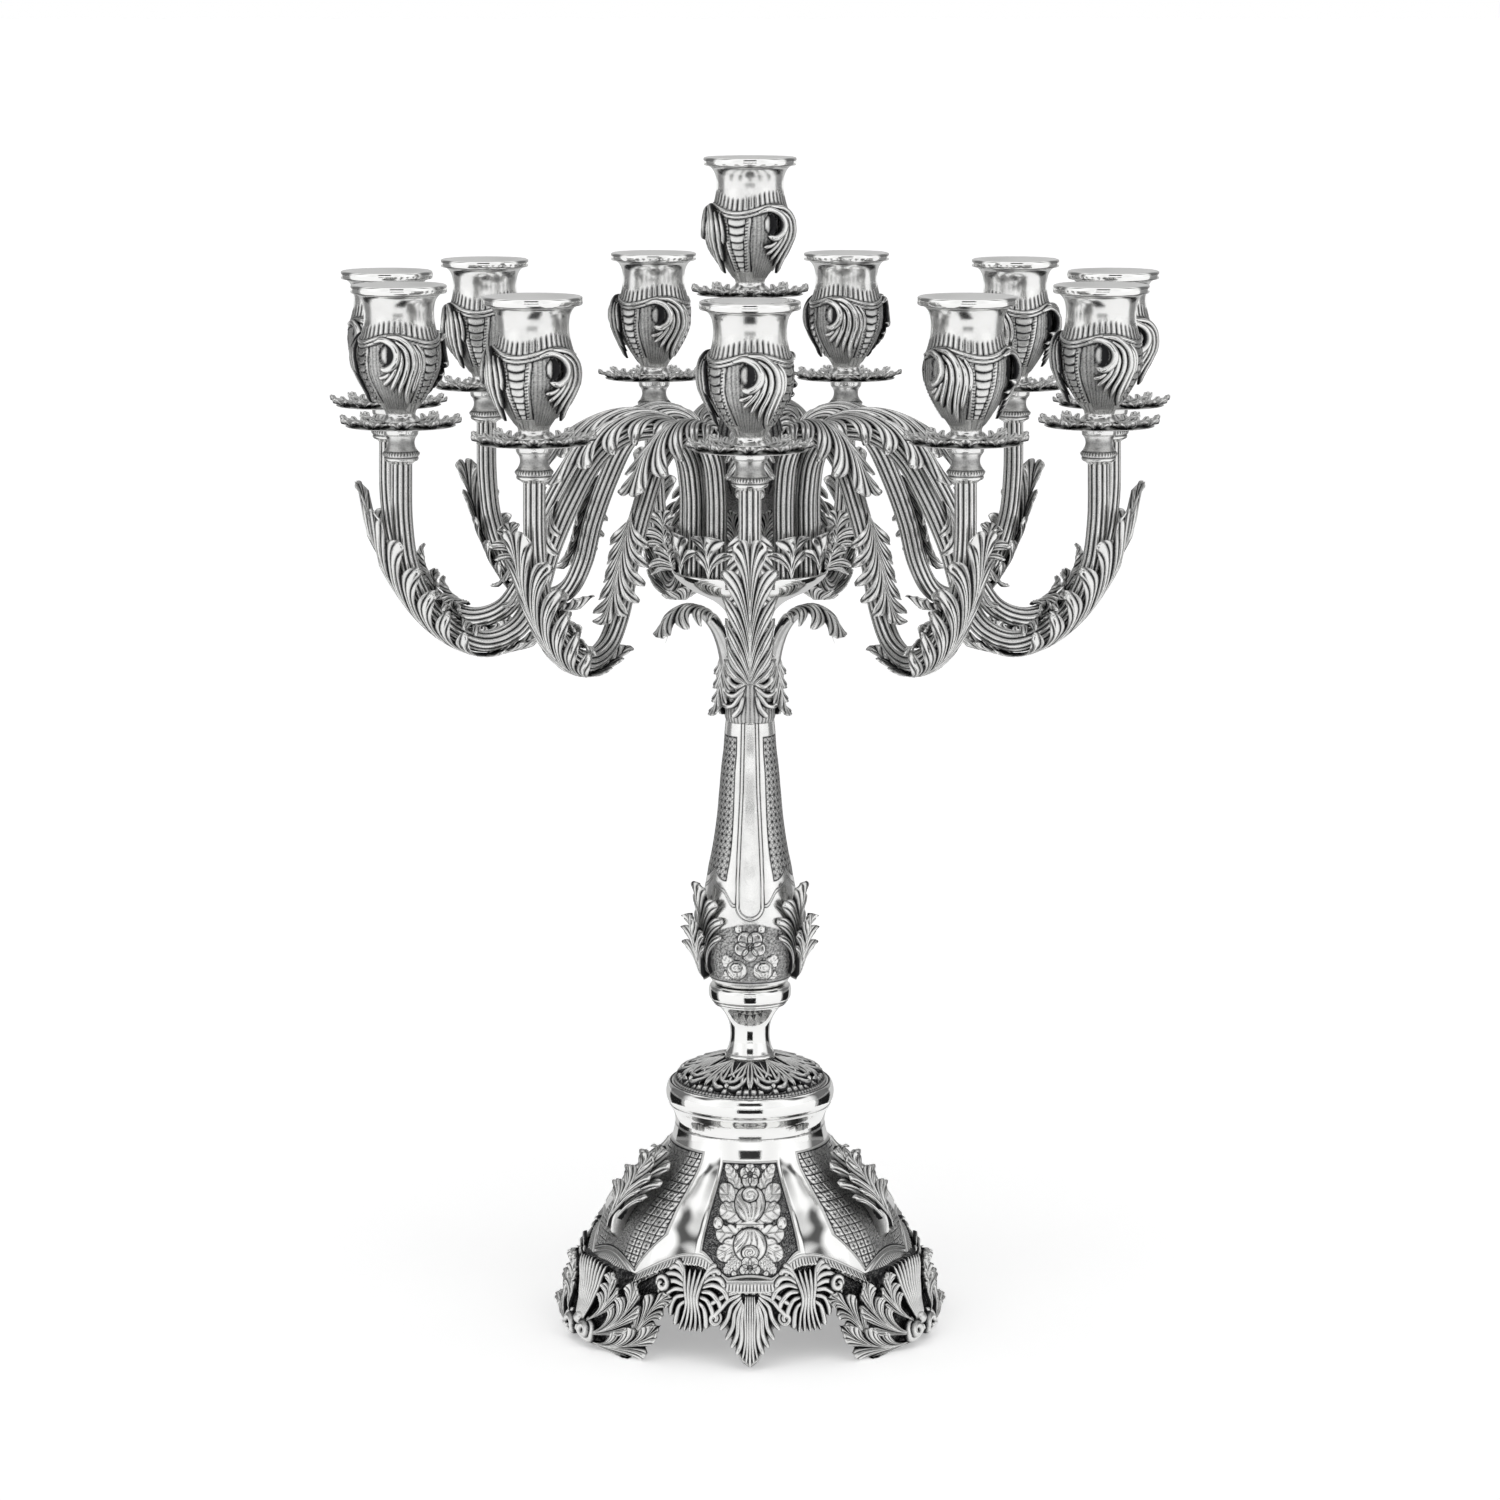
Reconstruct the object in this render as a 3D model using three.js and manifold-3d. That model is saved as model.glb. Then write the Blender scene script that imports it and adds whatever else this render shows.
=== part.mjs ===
// A twelve-light candelabra in cast and chased silver: a central light with a ring of eleven arms
// round it, a baluster stem, and a three-footed domed base. Millimetres, +Z up, origin at the
// middle of the base on the surface that it stands on, -Y towards the viewer.
import * as THREE from "three";
import { mergeVertices } from "three/addons/utils/BufferGeometryUtils.js";
import Module from "manifold-3d";

const wasm = await Module();
wasm.setup();

// ---- driving dimensions ----
const ARM_COUNT = 11;
const ARM_REACH = 199; // stem axis to the axis of an outer light
const RING_SEAT = 508; // height on which the outer cups stand
const TOP_SEAT = 570; // height on which the central cup stands
const CUP_HEIGHT = 71; // seat of a cup to the rim of its nozzle
const GAP = 0.3; // clearance between pieces that touch

const FLANGE_RADIUS = 24.7; // nozzle rim
const FLANGE_DEPTH = 4.5;
const SLEEVE_RADIUS = 12.6; // nozzle tube
const CANDLE_RADIUS = 11.2; // bore that takes the candle
const SLEEVE_LENGTH = 31;

const PAN_RADIUS = 35;
const TUBE_RADIUS = 5.7; // reeded arm tube
const STUD_RADIUS = 3; // threaded end that holds a pan and a cup on its arm
const STUD_LENGTH = 9;
const SPIGOT_RADIUS = 2.2; // foot of an arm, let into the dish
const SPIGOT_LENGTH = 3.2;
const RISER_RADIUS = 33; // stem axis to the foot of an arm

const DISH_PLATE = 416; // height of the plate that the arms stand on
const ROD_RADIUS = 4; // tie rod that clamps the stem together
const NUT_FLOOR = 92; // underside of the nut inside the base
const FOOT_TURNS = [60, 180, 300]; // degrees round from the front

const SILVER = new THREE.MeshStandardMaterial({ color: 0xcfd0d2, roughness: 0.22, metalness: 1 });
const OXIDISED = new THREE.MeshStandardMaterial({ color: 0x8d8e91, roughness: 0.42, metalness: 1 });
const STEEL = new THREE.MeshStandardMaterial({ color: 0x9fa1a4, roughness: 0.35, metalness: 1 });

const candelabra = new THREE.Group();

// ---- helpers ----
const radians = (degrees) => (degrees * Math.PI) / 180;
const armTurn = (k) => (k * 2 * Math.PI) / ARM_COUNT;

function addPiece(name, geometry, material, parent = candelabra) {
  const piece = new THREE.Mesh(geometry, material);
  piece.name = name;
  parent.add(piece);
  return piece;
}

// Turns a profile of [radius, height] points, outside face rising, about the Z axis.
function turned(profile, segments = 24) {
  const points = profile.map(([radius, height]) => new THREE.Vector2(radius, height));
  return new THREE.LatheGeometry(points, segments).rotateX(Math.PI / 2);
}

function solidOf(geometry) {
  const bare = geometry.clone();
  bare.deleteAttribute("normal");
  bare.deleteAttribute("uv");
  const merged = mergeVertices(bare, 1e-4);
  const mesh = new wasm.Mesh({
    numProp: 3,
    vertProperties: new Float32Array(merged.attributes.position.array),
    triVerts: new Uint32Array(merged.index.array),
  });
  mesh.merge();
  return new wasm.Manifold(mesh);
}

function geometryOf(solid) {
  const { vertProperties, triVerts } = solid.getMesh();
  const geometry = new THREE.BufferGeometry();
  geometry.setAttribute("position", new THREE.BufferAttribute(vertProperties, 3));
  geometry.setIndex(new THREE.BufferAttribute(triVerts, 1));
  return geometry;
}

const joined = (first, ...others) =>
  geometryOf(others.reduce((sum, next) => sum.add(solidOf(next)), solidOf(first)));

const cutFrom = (body, ...tools) =>
  geometryOf(tools.reduce((rest, tool) => rest.subtract(solidOf(tool)), solidOf(body)));

// Sweeps a section round a smooth curve through [x, y, z] points.
function swept(points, section, steps) {
  const path = new THREE.CatmullRomCurve3(points.map((point) => new THREE.Vector3(...point)));
  return new THREE.ExtrudeGeometry(section, { extrudePath: path, steps, bevelEnabled: false });
}

function roundSection(radius, sides) {
  const corners = Array.from({ length: sides }, (_, i) => {
    const turn = (i / sides) * 2 * Math.PI;
    return new THREE.Vector2(radius * Math.cos(turn), radius * Math.sin(turn));
  });
  return new THREE.Shape(corners);
}

// A closed shell over a grid: cell (i, j) is a point of the outside face, thickened inwards.
// rows run upwards and columns run round; a full turn joins its last column to its first.
function shell(rows, columns, outer, inner, closed) {
  const positions = [];
  for (const face of [outer, inner]) {
    for (let row = 0; row < rows; row += 1) {
      for (let column = 0; column < columns; column += 1) {
        positions.push(...face(row / (rows - 1), column));
      }
    }
  }
  const layer = rows * columns;
  const at = (row, column) => row * columns + (column % columns);
  const index = [];
  const quad = (a, b, c, d) => index.push(a, b, c, a, c, d);
  const spans = closed ? columns : columns - 1;
  for (let column = 0; column < spans; column += 1) {
    for (let row = 0; row < rows - 1; row += 1) {
      const corners = [at(row, column), at(row, column + 1), at(row + 1, column + 1), at(row + 1, column)];
      const [a, b, c, d] = corners;
      quad(a, b, c, d);
      quad(d + layer, c + layer, b + layer, a + layer);
    }
    const top = rows - 1;
    quad(at(0, column + 1), at(0, column), at(0, column) + layer, at(0, column + 1) + layer);
    quad(at(top, column), at(top, column + 1), at(top, column + 1) + layer, at(top, column) + layer);
  }
  if (!closed) {
    for (let row = 0; row < rows - 1; row += 1) {
      const first = at(row, 0);
      const above = at(row + 1, 0);
      quad(first + layer, first, above, above + layer);
      const last = at(row, columns - 1);
      const lastAbove = at(row + 1, columns - 1);
      quad(last, last + layer, lastAbove + layer, lastAbove);
    }
  }
  const geometry = new THREE.BufferGeometry();
  geometry.setAttribute("position", new THREE.Float32BufferAttribute(positions, 3));
  geometry.setIndex(index);
  return geometry;
}

// A point at a radius and height, turned round from the front of the object.
function around(radius, degrees, height) {
  const turn = radians(degrees);
  return [radius * Math.sin(turn), -radius * Math.cos(turn), height];
}

// Straight-line reading of a table of [height, radius] pairs in falling height.
function radiusAt(table, height) {
  for (let i = 1; i < table.length; i += 1) {
    const [upper, wide] = table[i - 1];
    const [lower, next] = table[i];
    if (height >= lower) {
      return next + ((wide - next) * (height - lower)) / (upper - lower);
    }
  }
  return table[table.length - 1][1];
}

// ---- one light: drip pan, cup and lift-out nozzle ----
function nozzle() {
  return turned([
    [0, CUP_HEIGHT - SLEEVE_LENGTH],
    [SLEEVE_RADIUS, CUP_HEIGHT - SLEEVE_LENGTH],
    [SLEEVE_RADIUS, CUP_HEIGHT - FLANGE_DEPTH],
    [22.3, CUP_HEIGHT - FLANGE_DEPTH],
    [FLANGE_RADIUS, CUP_HEIGHT - 1.6],
    [FLANGE_RADIUS - 0.5, CUP_HEIGHT],
    [22.4, CUP_HEIGHT],
    [SLEEVE_RADIUS, CUP_HEIGHT - 3],
    [CANDLE_RADIUS, CUP_HEIGHT - 4.6],
    [CANDLE_RADIUS, CUP_HEIGHT - SLEEVE_LENGTH + 1.5],
    [0, CUP_HEIGHT - SLEEVE_LENGTH + 1.5],
  ], 12);
}

function cup() {
  const lip = CUP_HEIGHT - FLANGE_DEPTH - GAP;
  const bore = SLEEVE_RADIUS + 0.6;
  return turned([
    [0, STUD_LENGTH + 1],
    [STUD_RADIUS + GAP, STUD_LENGTH + 1],
    [STUD_RADIUS + GAP, 0],
    [10.2, 0],
    [7.8, 4],
    [16, 17],
    [21, 31],
    [20.6, 42],
    [18.5, 53],
    [22, lip],
    [bore, lip],
    [bore, CUP_HEIGHT - SLEEVE_LENGTH - 1],
    [0, CUP_HEIGHT - SLEEVE_LENGTH - 1],
  ], 12);
}

function dripPan() {
  const hole = STUD_RADIUS + GAP;
  return turned([
    [hole, -1.6], [PAN_RADIUS, -0.9], [PAN_RADIUS, 1], [12, -GAP], [hole, -GAP], [hole, -1.6],
  ], 12);
}

// Spool and beaded ring that carry a drip pan, with the stud that passes up through it.
const CAPITAL_HEIGHT = 19;
function capital(stemRadius) {
  const top = -1.6 - GAP;
  return [
    [0, top - CAPITAL_HEIGHT],
    [stemRadius, top - CAPITAL_HEIGHT],
    [9.2, top - 15],
    [7.3, top - 9],
    [8.6, top],
    [STUD_RADIUS, top],
    [STUD_RADIUS, STUD_LENGTH],
    [0, STUD_LENGTH],
  ];
}

function addLight(name, parent, height) {
  const light = new THREE.Group();
  light.position.z = height;
  parent.add(light);
  addPiece(`drip_pan_${name}`, dripPan(), OXIDISED, light);
  addPiece(`cup_${name}`, cup(), SILVER, light);
  addPiece(`nozzle_${name}`, nozzle(), SILVER, light);
}

// ---- the arms ----
// Centre line of an arm as [distance from the stem axis, height]: up out of the dish, over its
// arch, down to its lowest bend and up again under its light.
const ARM_LINE = [
  [RISER_RADIUS, DISH_PLATE + GAP], [RISER_RADIUS, 440], [33.2, 464], [36.5, 482], [45.5, 494],
  [60, 498], [76, 494.5], [90, 484], [104, 462], [116, 437], [124.6, 412], [136.6, 395.5],
  [153, 390], [169.4, 395.5], [185, 410], [195.6, 432], [199, 455], [199, RING_SEAT - 20],
];

// One arm: its bent tube, the capital under its light, and the spigot that seats it in the dish.
function arm() {
  const line = ARM_LINE.map(([reach, height]) => [0, -reach, height]);
  const tube = swept(line, roundSection(TUBE_RADIUS, 7), 18);
  const spigot = turned([
    [0, DISH_PLATE - SPIGOT_LENGTH], [SPIGOT_RADIUS, DISH_PLATE - SPIGOT_LENGTH],
    [SPIGOT_RADIUS, DISH_PLATE + 2], [0, DISH_PLATE + 2],
  ], 6).translate(0, -RISER_RADIUS, 0);
  const head = turned(capital(TUBE_RADIUS), 10).translate(0, -ARM_REACH, RING_SEAT);
  return joined(tube, head, spigot);
}

// ---- centre of the arms ----
const DISH_OUTSIDE = [
  [419, 42.3], [412, 36.2], [408, 31], [405, 25], [402, 19], [397, 13.8], [391, 10.6], [384, 10],
];
const DISH_FOOT = 384;

function armDish() {
  const hole = ROD_RADIUS + GAP;
  const outside = DISH_OUTSIDE.toReversed().map(([height, radius]) => [radius, height]);
  const body = turned([
    [hole, DISH_FOOT], ...outside, [40.8, 419], [39.6, DISH_PLATE], [hole, DISH_PLATE], [hole, DISH_FOOT],
  ], 24);
  const low = DISH_PLATE - SPIGOT_LENGTH - GAP;
  const wide = SPIGOT_RADIUS + GAP;
  const sockets = Array.from({ length: ARM_COUNT }, (_, k) =>
    turned([[0, low], [wide, low], [wide, DISH_PLATE + 2], [0, DISH_PLATE + 2]], 6)
      .translate(0, -RISER_RADIUS, 0)
      .rotateZ(armTurn(k)));
  return cutFrom(body, ...sockets);
}

// Vase-shaped column in the middle of the arms; the tie rod screws up into its foot.
function centreColumn() {
  const foot = DISH_PLATE + GAP;
  const socket = ROD_RADIUS + GAP;
  const head = capital(8).slice(2).map(([radius, height]) => [radius, height + TOP_SEAT]);
  return turned([
    [0, foot + 26], [socket, foot + 26], [socket, foot], [15, foot], [16, foot + 4], [11, foot + 9],
    [12.5, foot + 24], [15, foot + 34], [13, foot + 42], [16.8, foot + 56], [17.2, foot + 78],
    [12, foot + 92], [8, foot + 104], [8, TOP_SEAT - 21], ...head,
  ], 14);
}

function tieRod() {
  const low = NUT_FLOOR - 6;
  const high = DISH_PLATE + GAP + 25;
  return turned([[0, low], [ROD_RADIUS, low], [ROD_RADIUS, high], [0, high]], 12);
}

// ---- bracket with three curling leaves, between the dish and the stem ----
const BRACKET_FOOT = 337;
const LEAF_LINE = [
  [11.5, 341], [13, 352], [14, 366], [17, 380], [24, 391], [34, 396], [44, 394], [51, 384], [53.5, 374],
];

function leafSection() {
  const half = 7;
  const outline = [[-1.3, -half], [1.3, -half], [2.2, 0], [1.3, half], [-1.3, half], [-0.4, 0]];
  return new THREE.Shape(outline.map(([across, along]) => new THREE.Vector2(across, along)));
}

function leafBracket() {
  const hole = ROD_RADIUS + GAP;
  const top = DISH_FOOT - GAP;
  const sleeve = turned([
    [hole, BRACKET_FOOT], [12.6, BRACKET_FOOT], [12.9, 346], [14, 356], [13.2, 366], [10, 376],
    [9.4, top], [hole, top], [hole, BRACKET_FOOT],
  ], 14);
  const leaves = FOOT_TURNS.map((turn) => {
    const line = LEAF_LINE.map(([reach, height]) => [0, -reach, height]);
    return swept(line, leafSection(), 10).rotateZ(radians(turn));
  });
  return joined(sleeve, ...leaves);
}

// ---- stem ----
const STEM_PROFILE = [
  [14.6, 190], [20, 190.4], [22.2, 194], [25, 202], [27.4, 214], [27.2, 226], [25.4, 240],
  [23, 253], [20.6, 264.6], [18.9, 275], [17.5, 286.6], [15.6, 309], [14.2, 320], [13.4, 331],
];
const STEM_FOOT = 190;

function stemBaluster() {
  const hole = ROD_RADIUS + GAP;
  const top = BRACKET_FOOT - GAP;
  return turned([[hole, STEM_FOOT], ...STEM_PROFILE, [12.6, top], [hole, top], [hole, STEM_FOOT]], 18);
}

const NECK_FOOT = 148;
function neckSpool() {
  const hole = ROD_RADIUS + GAP;
  const top = STEM_FOOT - GAP;
  return turned([
    [hole, NECK_FOOT], [13.6, NECK_FOOT], [13.4, 151], [11.2, 158], [11, 163], [12, 169],
    [14.6, 175], [20.2, 180.5], [22.2, 183], [22.2, 188.4], [20, top], [hole, top], [hole, NECK_FOOT],
  ], 18);
}

// ---- base ----
const DOME_FOOT = 111;
function shoulderDome() {
  const hole = ROD_RADIUS + GAP;
  const top = NECK_FOOT - GAP;
  const floor = DOME_FOOT + GAP;
  const under = 100; // the boss that the nut pulls on reaches down inside the skirt
  return turned([
    [hole, under], [12, under], [12, 126], [37, 122], [38, floor], [41.4, floor], [42.6, 118],
    [45.4, 123], [46.3, 128.4], [45.4, 132.4], [43.8, 134], [38, 138.6], [28, 143], [19, 146],
    [13.6, top], [hole, top], [hole, under],
  ], 20);
}

function baseNut() {
  const hole = ROD_RADIUS + GAP;
  const top = 100 - GAP;
  const washer = turned([[0, top - 2], [14, top - 2], [14, top], [0, top]], 18);
  const hexagon = turned([[0, NUT_FLOOR], [7.5, NUT_FLOOR], [7.5, top - 1], [0, top - 1]], 6);
  const thread = turned([[0, NUT_FLOOR - 1], [hole, NUT_FLOOR - 1], [hole, top + 1], [0, top + 1]], 18);
  return cutFrom(joined(washer, hexagon), thread);
}

// Outside of the skirt in falling height, before its flutes are pressed in.
const SKIRT_SECTION = [
  [DOME_FOOT, 41.4], [105, 42.6], [99.5, 45], [93.5, 49.5], [88, 55.3], [82.5, 61.4], [76.5, 68.4],
  [71, 73.4], [65, 78.6], [57, 83], [48, 86.6], [41, 90], [35, 92],
];
const SKIRT_THICKNESS = 2.2;
const FLUTE_DEPTH = 2.6;
const FLUTE_HALF_WIDTH = 9; // degrees

// Lower edge of the skirt: high between panels, dipping to a point each side of a foot.
function hemHeight(degrees) {
  const turn = ((degrees % 120) + 120) % 120;
  const fromFoot = Math.abs(turn - 60);
  if (fromFoot < 15) {
    return 36 + 6.5 * Math.cos((fromFoot / 15) * (Math.PI / 2));
  }
  if (fromFoot < 40) {
    return 36 + 16 * Math.sin(((fromFoot - 15) / 25) * (Math.PI / 2));
  }
  const fromDrop = 60 - fromFoot;
  return fromDrop > 8 ? 40 + 12 * Math.sin(((fromDrop - 8) / 12) * (Math.PI / 2)) : 40;
}

function flutePress(degrees, height) {
  const fromFlute = Math.abs((((degrees % 60) + 60) % 60) - 30);
  const fade = THREE.MathUtils.smoothstep(height, 44, 60) * (1 - THREE.MathUtils.smoothstep(height, 92, 106));
  if (fromFlute >= FLUTE_HALF_WIDTH) {
    return 0;
  }
  return FLUTE_DEPTH * fade * Math.cos((fromFlute / FLUTE_HALF_WIDTH) * (Math.PI / 2));
}

function baseSkirt() {
  const columns = 48;
  const face = (inset) => (rise, column) => {
    const degrees = (column * 360) / columns;
    const low = hemHeight(degrees);
    const height = low + (DOME_FOOT - low) * rise ** 0.9;
    const radius = radiusAt(SKIRT_SECTION, height) - flutePress(degrees, height) - inset;
    return around(radius, degrees, height);
  };
  return shell(7, columns, face(0), face(SKIRT_THICKNESS), true);
}

// The cast apron below the skirt: a ring cut into arches between its drops, shells and feet.
const APRON_THICKNESS = 2.4;
const APRON_CLEARANCE = 1.4; // inside the skirt, where the flutes curve between the facets
const APRON_FLARE = 11; // how far its drops and feet swing out below the skirt
const LOWER_EDGE = [ // degrees from a drop, height of the lower edge
  [0, 1], [2.5, 4], [5, 12], [8, 20], [12, 22], [15, 19],
  [24, 18.5], [27, 24], [31, 28.5], [36, 26], [41, 18], [44, 14],
];

function lowerEdge(degrees) {
  const turn = ((degrees % 120) + 120) % 120;
  const fromDrop = Math.min(turn, 120 - turn);
  for (let i = 1; i < LOWER_EDGE.length; i += 1) {
    const [before, from] = LOWER_EDGE[i - 1];
    const [after, to] = LOWER_EDGE[i];
    if (fromDrop <= after) {
      return from + ((to - from) * (fromDrop - before)) / (after - before);
    }
  }
  return LOWER_EDGE[LOWER_EDGE.length - 1][1];
}

function baseApron() {
  const columns = 72;
  const face = (inset) => (rise, column) => {
    const degrees = (column * 360) / columns;
    const low = lowerEdge(degrees);
    const high = hemHeight(degrees) + 4;
    const height = low + (high - low) * rise;
    const flare = THREE.MathUtils.smoothstep(30 - height, 0, 30);
    const lining = radiusAt(SKIRT_SECTION, Math.max(height, 36)) - SKIRT_THICKNESS - APRON_CLEARANCE;
    const outside = lining - flutePress(degrees, height) + APRON_FLARE * flare;
    return around(outside - inset, degrees, height);
  };
  return shell(3, columns, face(0), face(APRON_THICKNESS), true);
}

// One foot: a scrolled bracket under the apron, standing on a flat pad.
const FOOT_HALF_WIDTH = 16; // degrees
const FOOT_BACK = 92;
function foot() {
  const columns = 9;
  const outside = [[106, 0], [110, 3], [112, 9], [109.5, 16], [103.5, 24], [98.5, 34], [96, 44]];
  const inside = [[99, 0], [97.8, 5], [96.8, 10], [95.6, 16], [93.4, 24], [92.6, 34], [92.6, 43]];
  const face = (line) => (rise, column) => {
    const [radius, height] = line[Math.round(rise * (line.length - 1))];
    const side = 2 * (column / (columns - 1)) - 1;
    const bulge = (radius - FOOT_BACK) * (1 - 0.3 * side ** 2);
    return around(FOOT_BACK + bulge, FOOT_HALF_WIDTH * side, height);
  };
  return shell(outside.length, columns, face(outside), face(inside), false);
}

// ---- the assembly ----
addPiece("base_skirt", baseSkirt(), SILVER);
addPiece("base_apron", baseApron(), OXIDISED);
FOOT_TURNS.forEach((turn, i) => {
  addPiece(`foot_${i + 1}`, foot(), OXIDISED).rotation.z = radians(turn);
});
addPiece("base_nut", baseNut(), STEEL);
addPiece("shoulder_dome", shoulderDome(), SILVER);
addPiece("neck_spool", neckSpool(), SILVER);
addPiece("stem_baluster", stemBaluster(), SILVER);
addPiece("leaf_bracket", leafBracket(), OXIDISED);
addPiece("tie_rod", tieRod(), STEEL);
addPiece("arm_dish", armDish(), SILVER);
addPiece("centre_column", centreColumn(), OXIDISED);

const armShape = arm();
for (let k = 0; k < ARM_COUNT; k += 1) {
  const branch = new THREE.Group();
  branch.rotation.z = armTurn(k);
  candelabra.add(branch);
  addPiece(`arm_${k + 1}`, armShape, SILVER, branch);
  const end = new THREE.Group();
  end.position.y = -ARM_REACH;
  branch.add(end);
  addLight(`${k + 1}`, end, RING_SEAT);
}
addLight("centre", candelabra, TOP_SEAT);

export default candelabra;
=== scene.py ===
"""Looks for the twelve-light candelabra: cast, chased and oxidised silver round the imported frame."""

import math

import bmesh
import bpy
import numpy as np
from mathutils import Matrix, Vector


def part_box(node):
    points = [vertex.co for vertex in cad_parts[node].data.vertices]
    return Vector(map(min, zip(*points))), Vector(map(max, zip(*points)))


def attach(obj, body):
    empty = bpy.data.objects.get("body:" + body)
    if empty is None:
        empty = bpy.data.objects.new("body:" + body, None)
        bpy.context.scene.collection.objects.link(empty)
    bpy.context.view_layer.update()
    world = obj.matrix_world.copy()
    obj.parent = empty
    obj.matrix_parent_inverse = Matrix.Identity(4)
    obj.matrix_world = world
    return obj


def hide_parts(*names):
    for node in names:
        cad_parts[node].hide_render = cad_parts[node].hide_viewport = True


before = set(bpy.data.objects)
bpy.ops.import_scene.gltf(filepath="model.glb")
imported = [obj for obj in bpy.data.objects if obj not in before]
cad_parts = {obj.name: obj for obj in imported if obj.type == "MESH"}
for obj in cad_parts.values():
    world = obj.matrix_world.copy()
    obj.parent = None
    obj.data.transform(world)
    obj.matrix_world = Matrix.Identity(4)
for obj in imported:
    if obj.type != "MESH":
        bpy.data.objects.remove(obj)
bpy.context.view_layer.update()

# Every shape below is worked out in millimetres and degrees, and angles round the stem are
# counted from the front (-Y) towards +X, as in the CAD model.
MM = 0.001
# Points closer than this, in metres, are one.
SAME_POINT = 1e-6
THIRDS = (0, 120, 240)
FEET = (60, 180, 300)

ARM_NODES = sorted(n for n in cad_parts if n.startswith("arm_") and n != "arm_dish")
LIGHTS = [n.replace("cup_", "") for n in sorted(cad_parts) if n.startswith("cup_")]


def node_low(node):
    return np.array(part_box(node)[0]) / MM


def node_high(node):
    return np.array(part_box(node)[1]) / MM


def node_middle(node):
    return (node_low(node) + node_high(node)) / 2


RING_SEAT = node_low("cup_1")[2]
TOP_SEAT = node_low("cup_centre")[2]
CUP_HEIGHT = node_high("nozzle_1")[2] - RING_SEAT
ARM_REACH = -node_middle("cup_1")[1]
DISH_PLATE = node_low("centre_column")[2]
SKIRT_TOP = node_high("base_skirt")[2]


# ---------------------------------------------------------------- mesh building
# A patch is (points, quads, darkness): points in mm, and how dark each point is from 0 to 1, from tarnish
# and, where a relief paints it, painted shade.
def grid(points, tarnish=0.0, wrap=False):
    """A patch over rows and columns of points; it faces out when columns run round and rows rise."""
    rows, columns = points.shape[:2]
    index = np.arange(rows * columns).reshape(rows, columns)
    left = index if wrap else index[:, :-1]
    right = np.roll(index, -1, axis=1) if wrap else index[:, 1:]
    quads = np.stack([left[:-1], right[:-1], right[1:], left[1:]], axis=-1).reshape(-1, 4)
    return points.reshape(-1, 3), quads, np.broadcast_to(tarnish, (rows, columns)).reshape(-1)


def merge(patches):
    points, quads, tarnish, start = [], [], [], 0
    for patch in patches:
        points.append(patch[0])
        quads.append(patch[1] + start)
        tarnish.append(patch[2])
        start += len(patch[0])
    return np.concatenate(points), np.concatenate(quads), np.concatenate(tarnish)


def sheet(front, back, tarnish=0.0):
    """A closed sheet between two grids of the same shape."""
    rows, columns = front.shape[:2]
    ring = np.concatenate([front, back[:, ::-1]], axis=1)
    shade = np.broadcast_to(tarnish, (rows, columns))
    points, quads, shades = grid(ring, np.concatenate([shade, shade[:, ::-1]], axis=1), wrap=True)
    width = 2 * columns
    near = np.arange(columns - 1)
    far = width - 1 - near
    first = np.stack([near + 1, near, far, far - 1], axis=-1)
    base = (rows - 1) * width
    last = base + np.stack([near, near + 1, far - 1, far], axis=-1)
    return points, np.concatenate([quads, first, last]), shades


def turn_patch(patch, degrees, move=(0, 0, 0)):
    """The patch turned round the stem from the front, then moved."""
    a = math.radians(degrees)
    c, s = math.cos(a), math.sin(a)
    p = patch[0]
    points = np.stack([c * p[:, 0] - s * p[:, 1], s * p[:, 0] + c * p[:, 1], p[:, 2]], axis=-1)
    return points + np.array(move, float), patch[1], patch[2]


def shaded(patch, factor):
    """The patch with its tarnish scaled."""
    return patch[0], patch[1], factor * patch[2]


def mesh_of(name, patch):
    points, quads, tarnish = patch
    mesh = bpy.data.meshes.new(name)
    mesh.vertices.add(len(points))
    mesh.vertices.foreach_set("co", (points * MM).astype(np.float32).ravel())
    mesh.loops.add(quads.size)
    mesh.loops.foreach_set("vertex_index", quads.astype(np.int32).ravel())
    mesh.polygons.add(len(quads))
    mesh.polygons.foreach_set("loop_start", np.arange(0, quads.size, 4, dtype=np.int32))
    mesh.polygons.foreach_set("use_smooth", np.ones(len(quads), bool))
    mesh.update(calc_edges=True)
    # the darkness of each point: tarnish, and painted shade where a relief paints it
    layer = mesh.attributes.new("tarnish", "FLOAT", "POINT")
    layer.data.foreach_set("value", np.clip(tarnish, 0, 1).astype(np.float32))
    work = bmesh.new()
    work.from_mesh(mesh)
    bmesh.ops.remove_doubles(work, verts=work.verts, dist=SAME_POINT)
    work.to_mesh(mesh)
    work.free()
    return mesh


def piece(name, mesh, material, replaced=(), turn=0, move=(0, 0, 0), body="root"):
    """One visible piece from a mesh, which copies of a repeated piece share."""
    if not mesh.materials:
        mesh.materials.append(material)
    made = bpy.data.objects.new(name, mesh)
    bpy.context.scene.collection.objects.link(made)
    made.rotation_euler.z = math.radians(turn)
    made.location = Vector(move) * MM
    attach(made, body)
    if replaced:
        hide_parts(*replaced)


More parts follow.
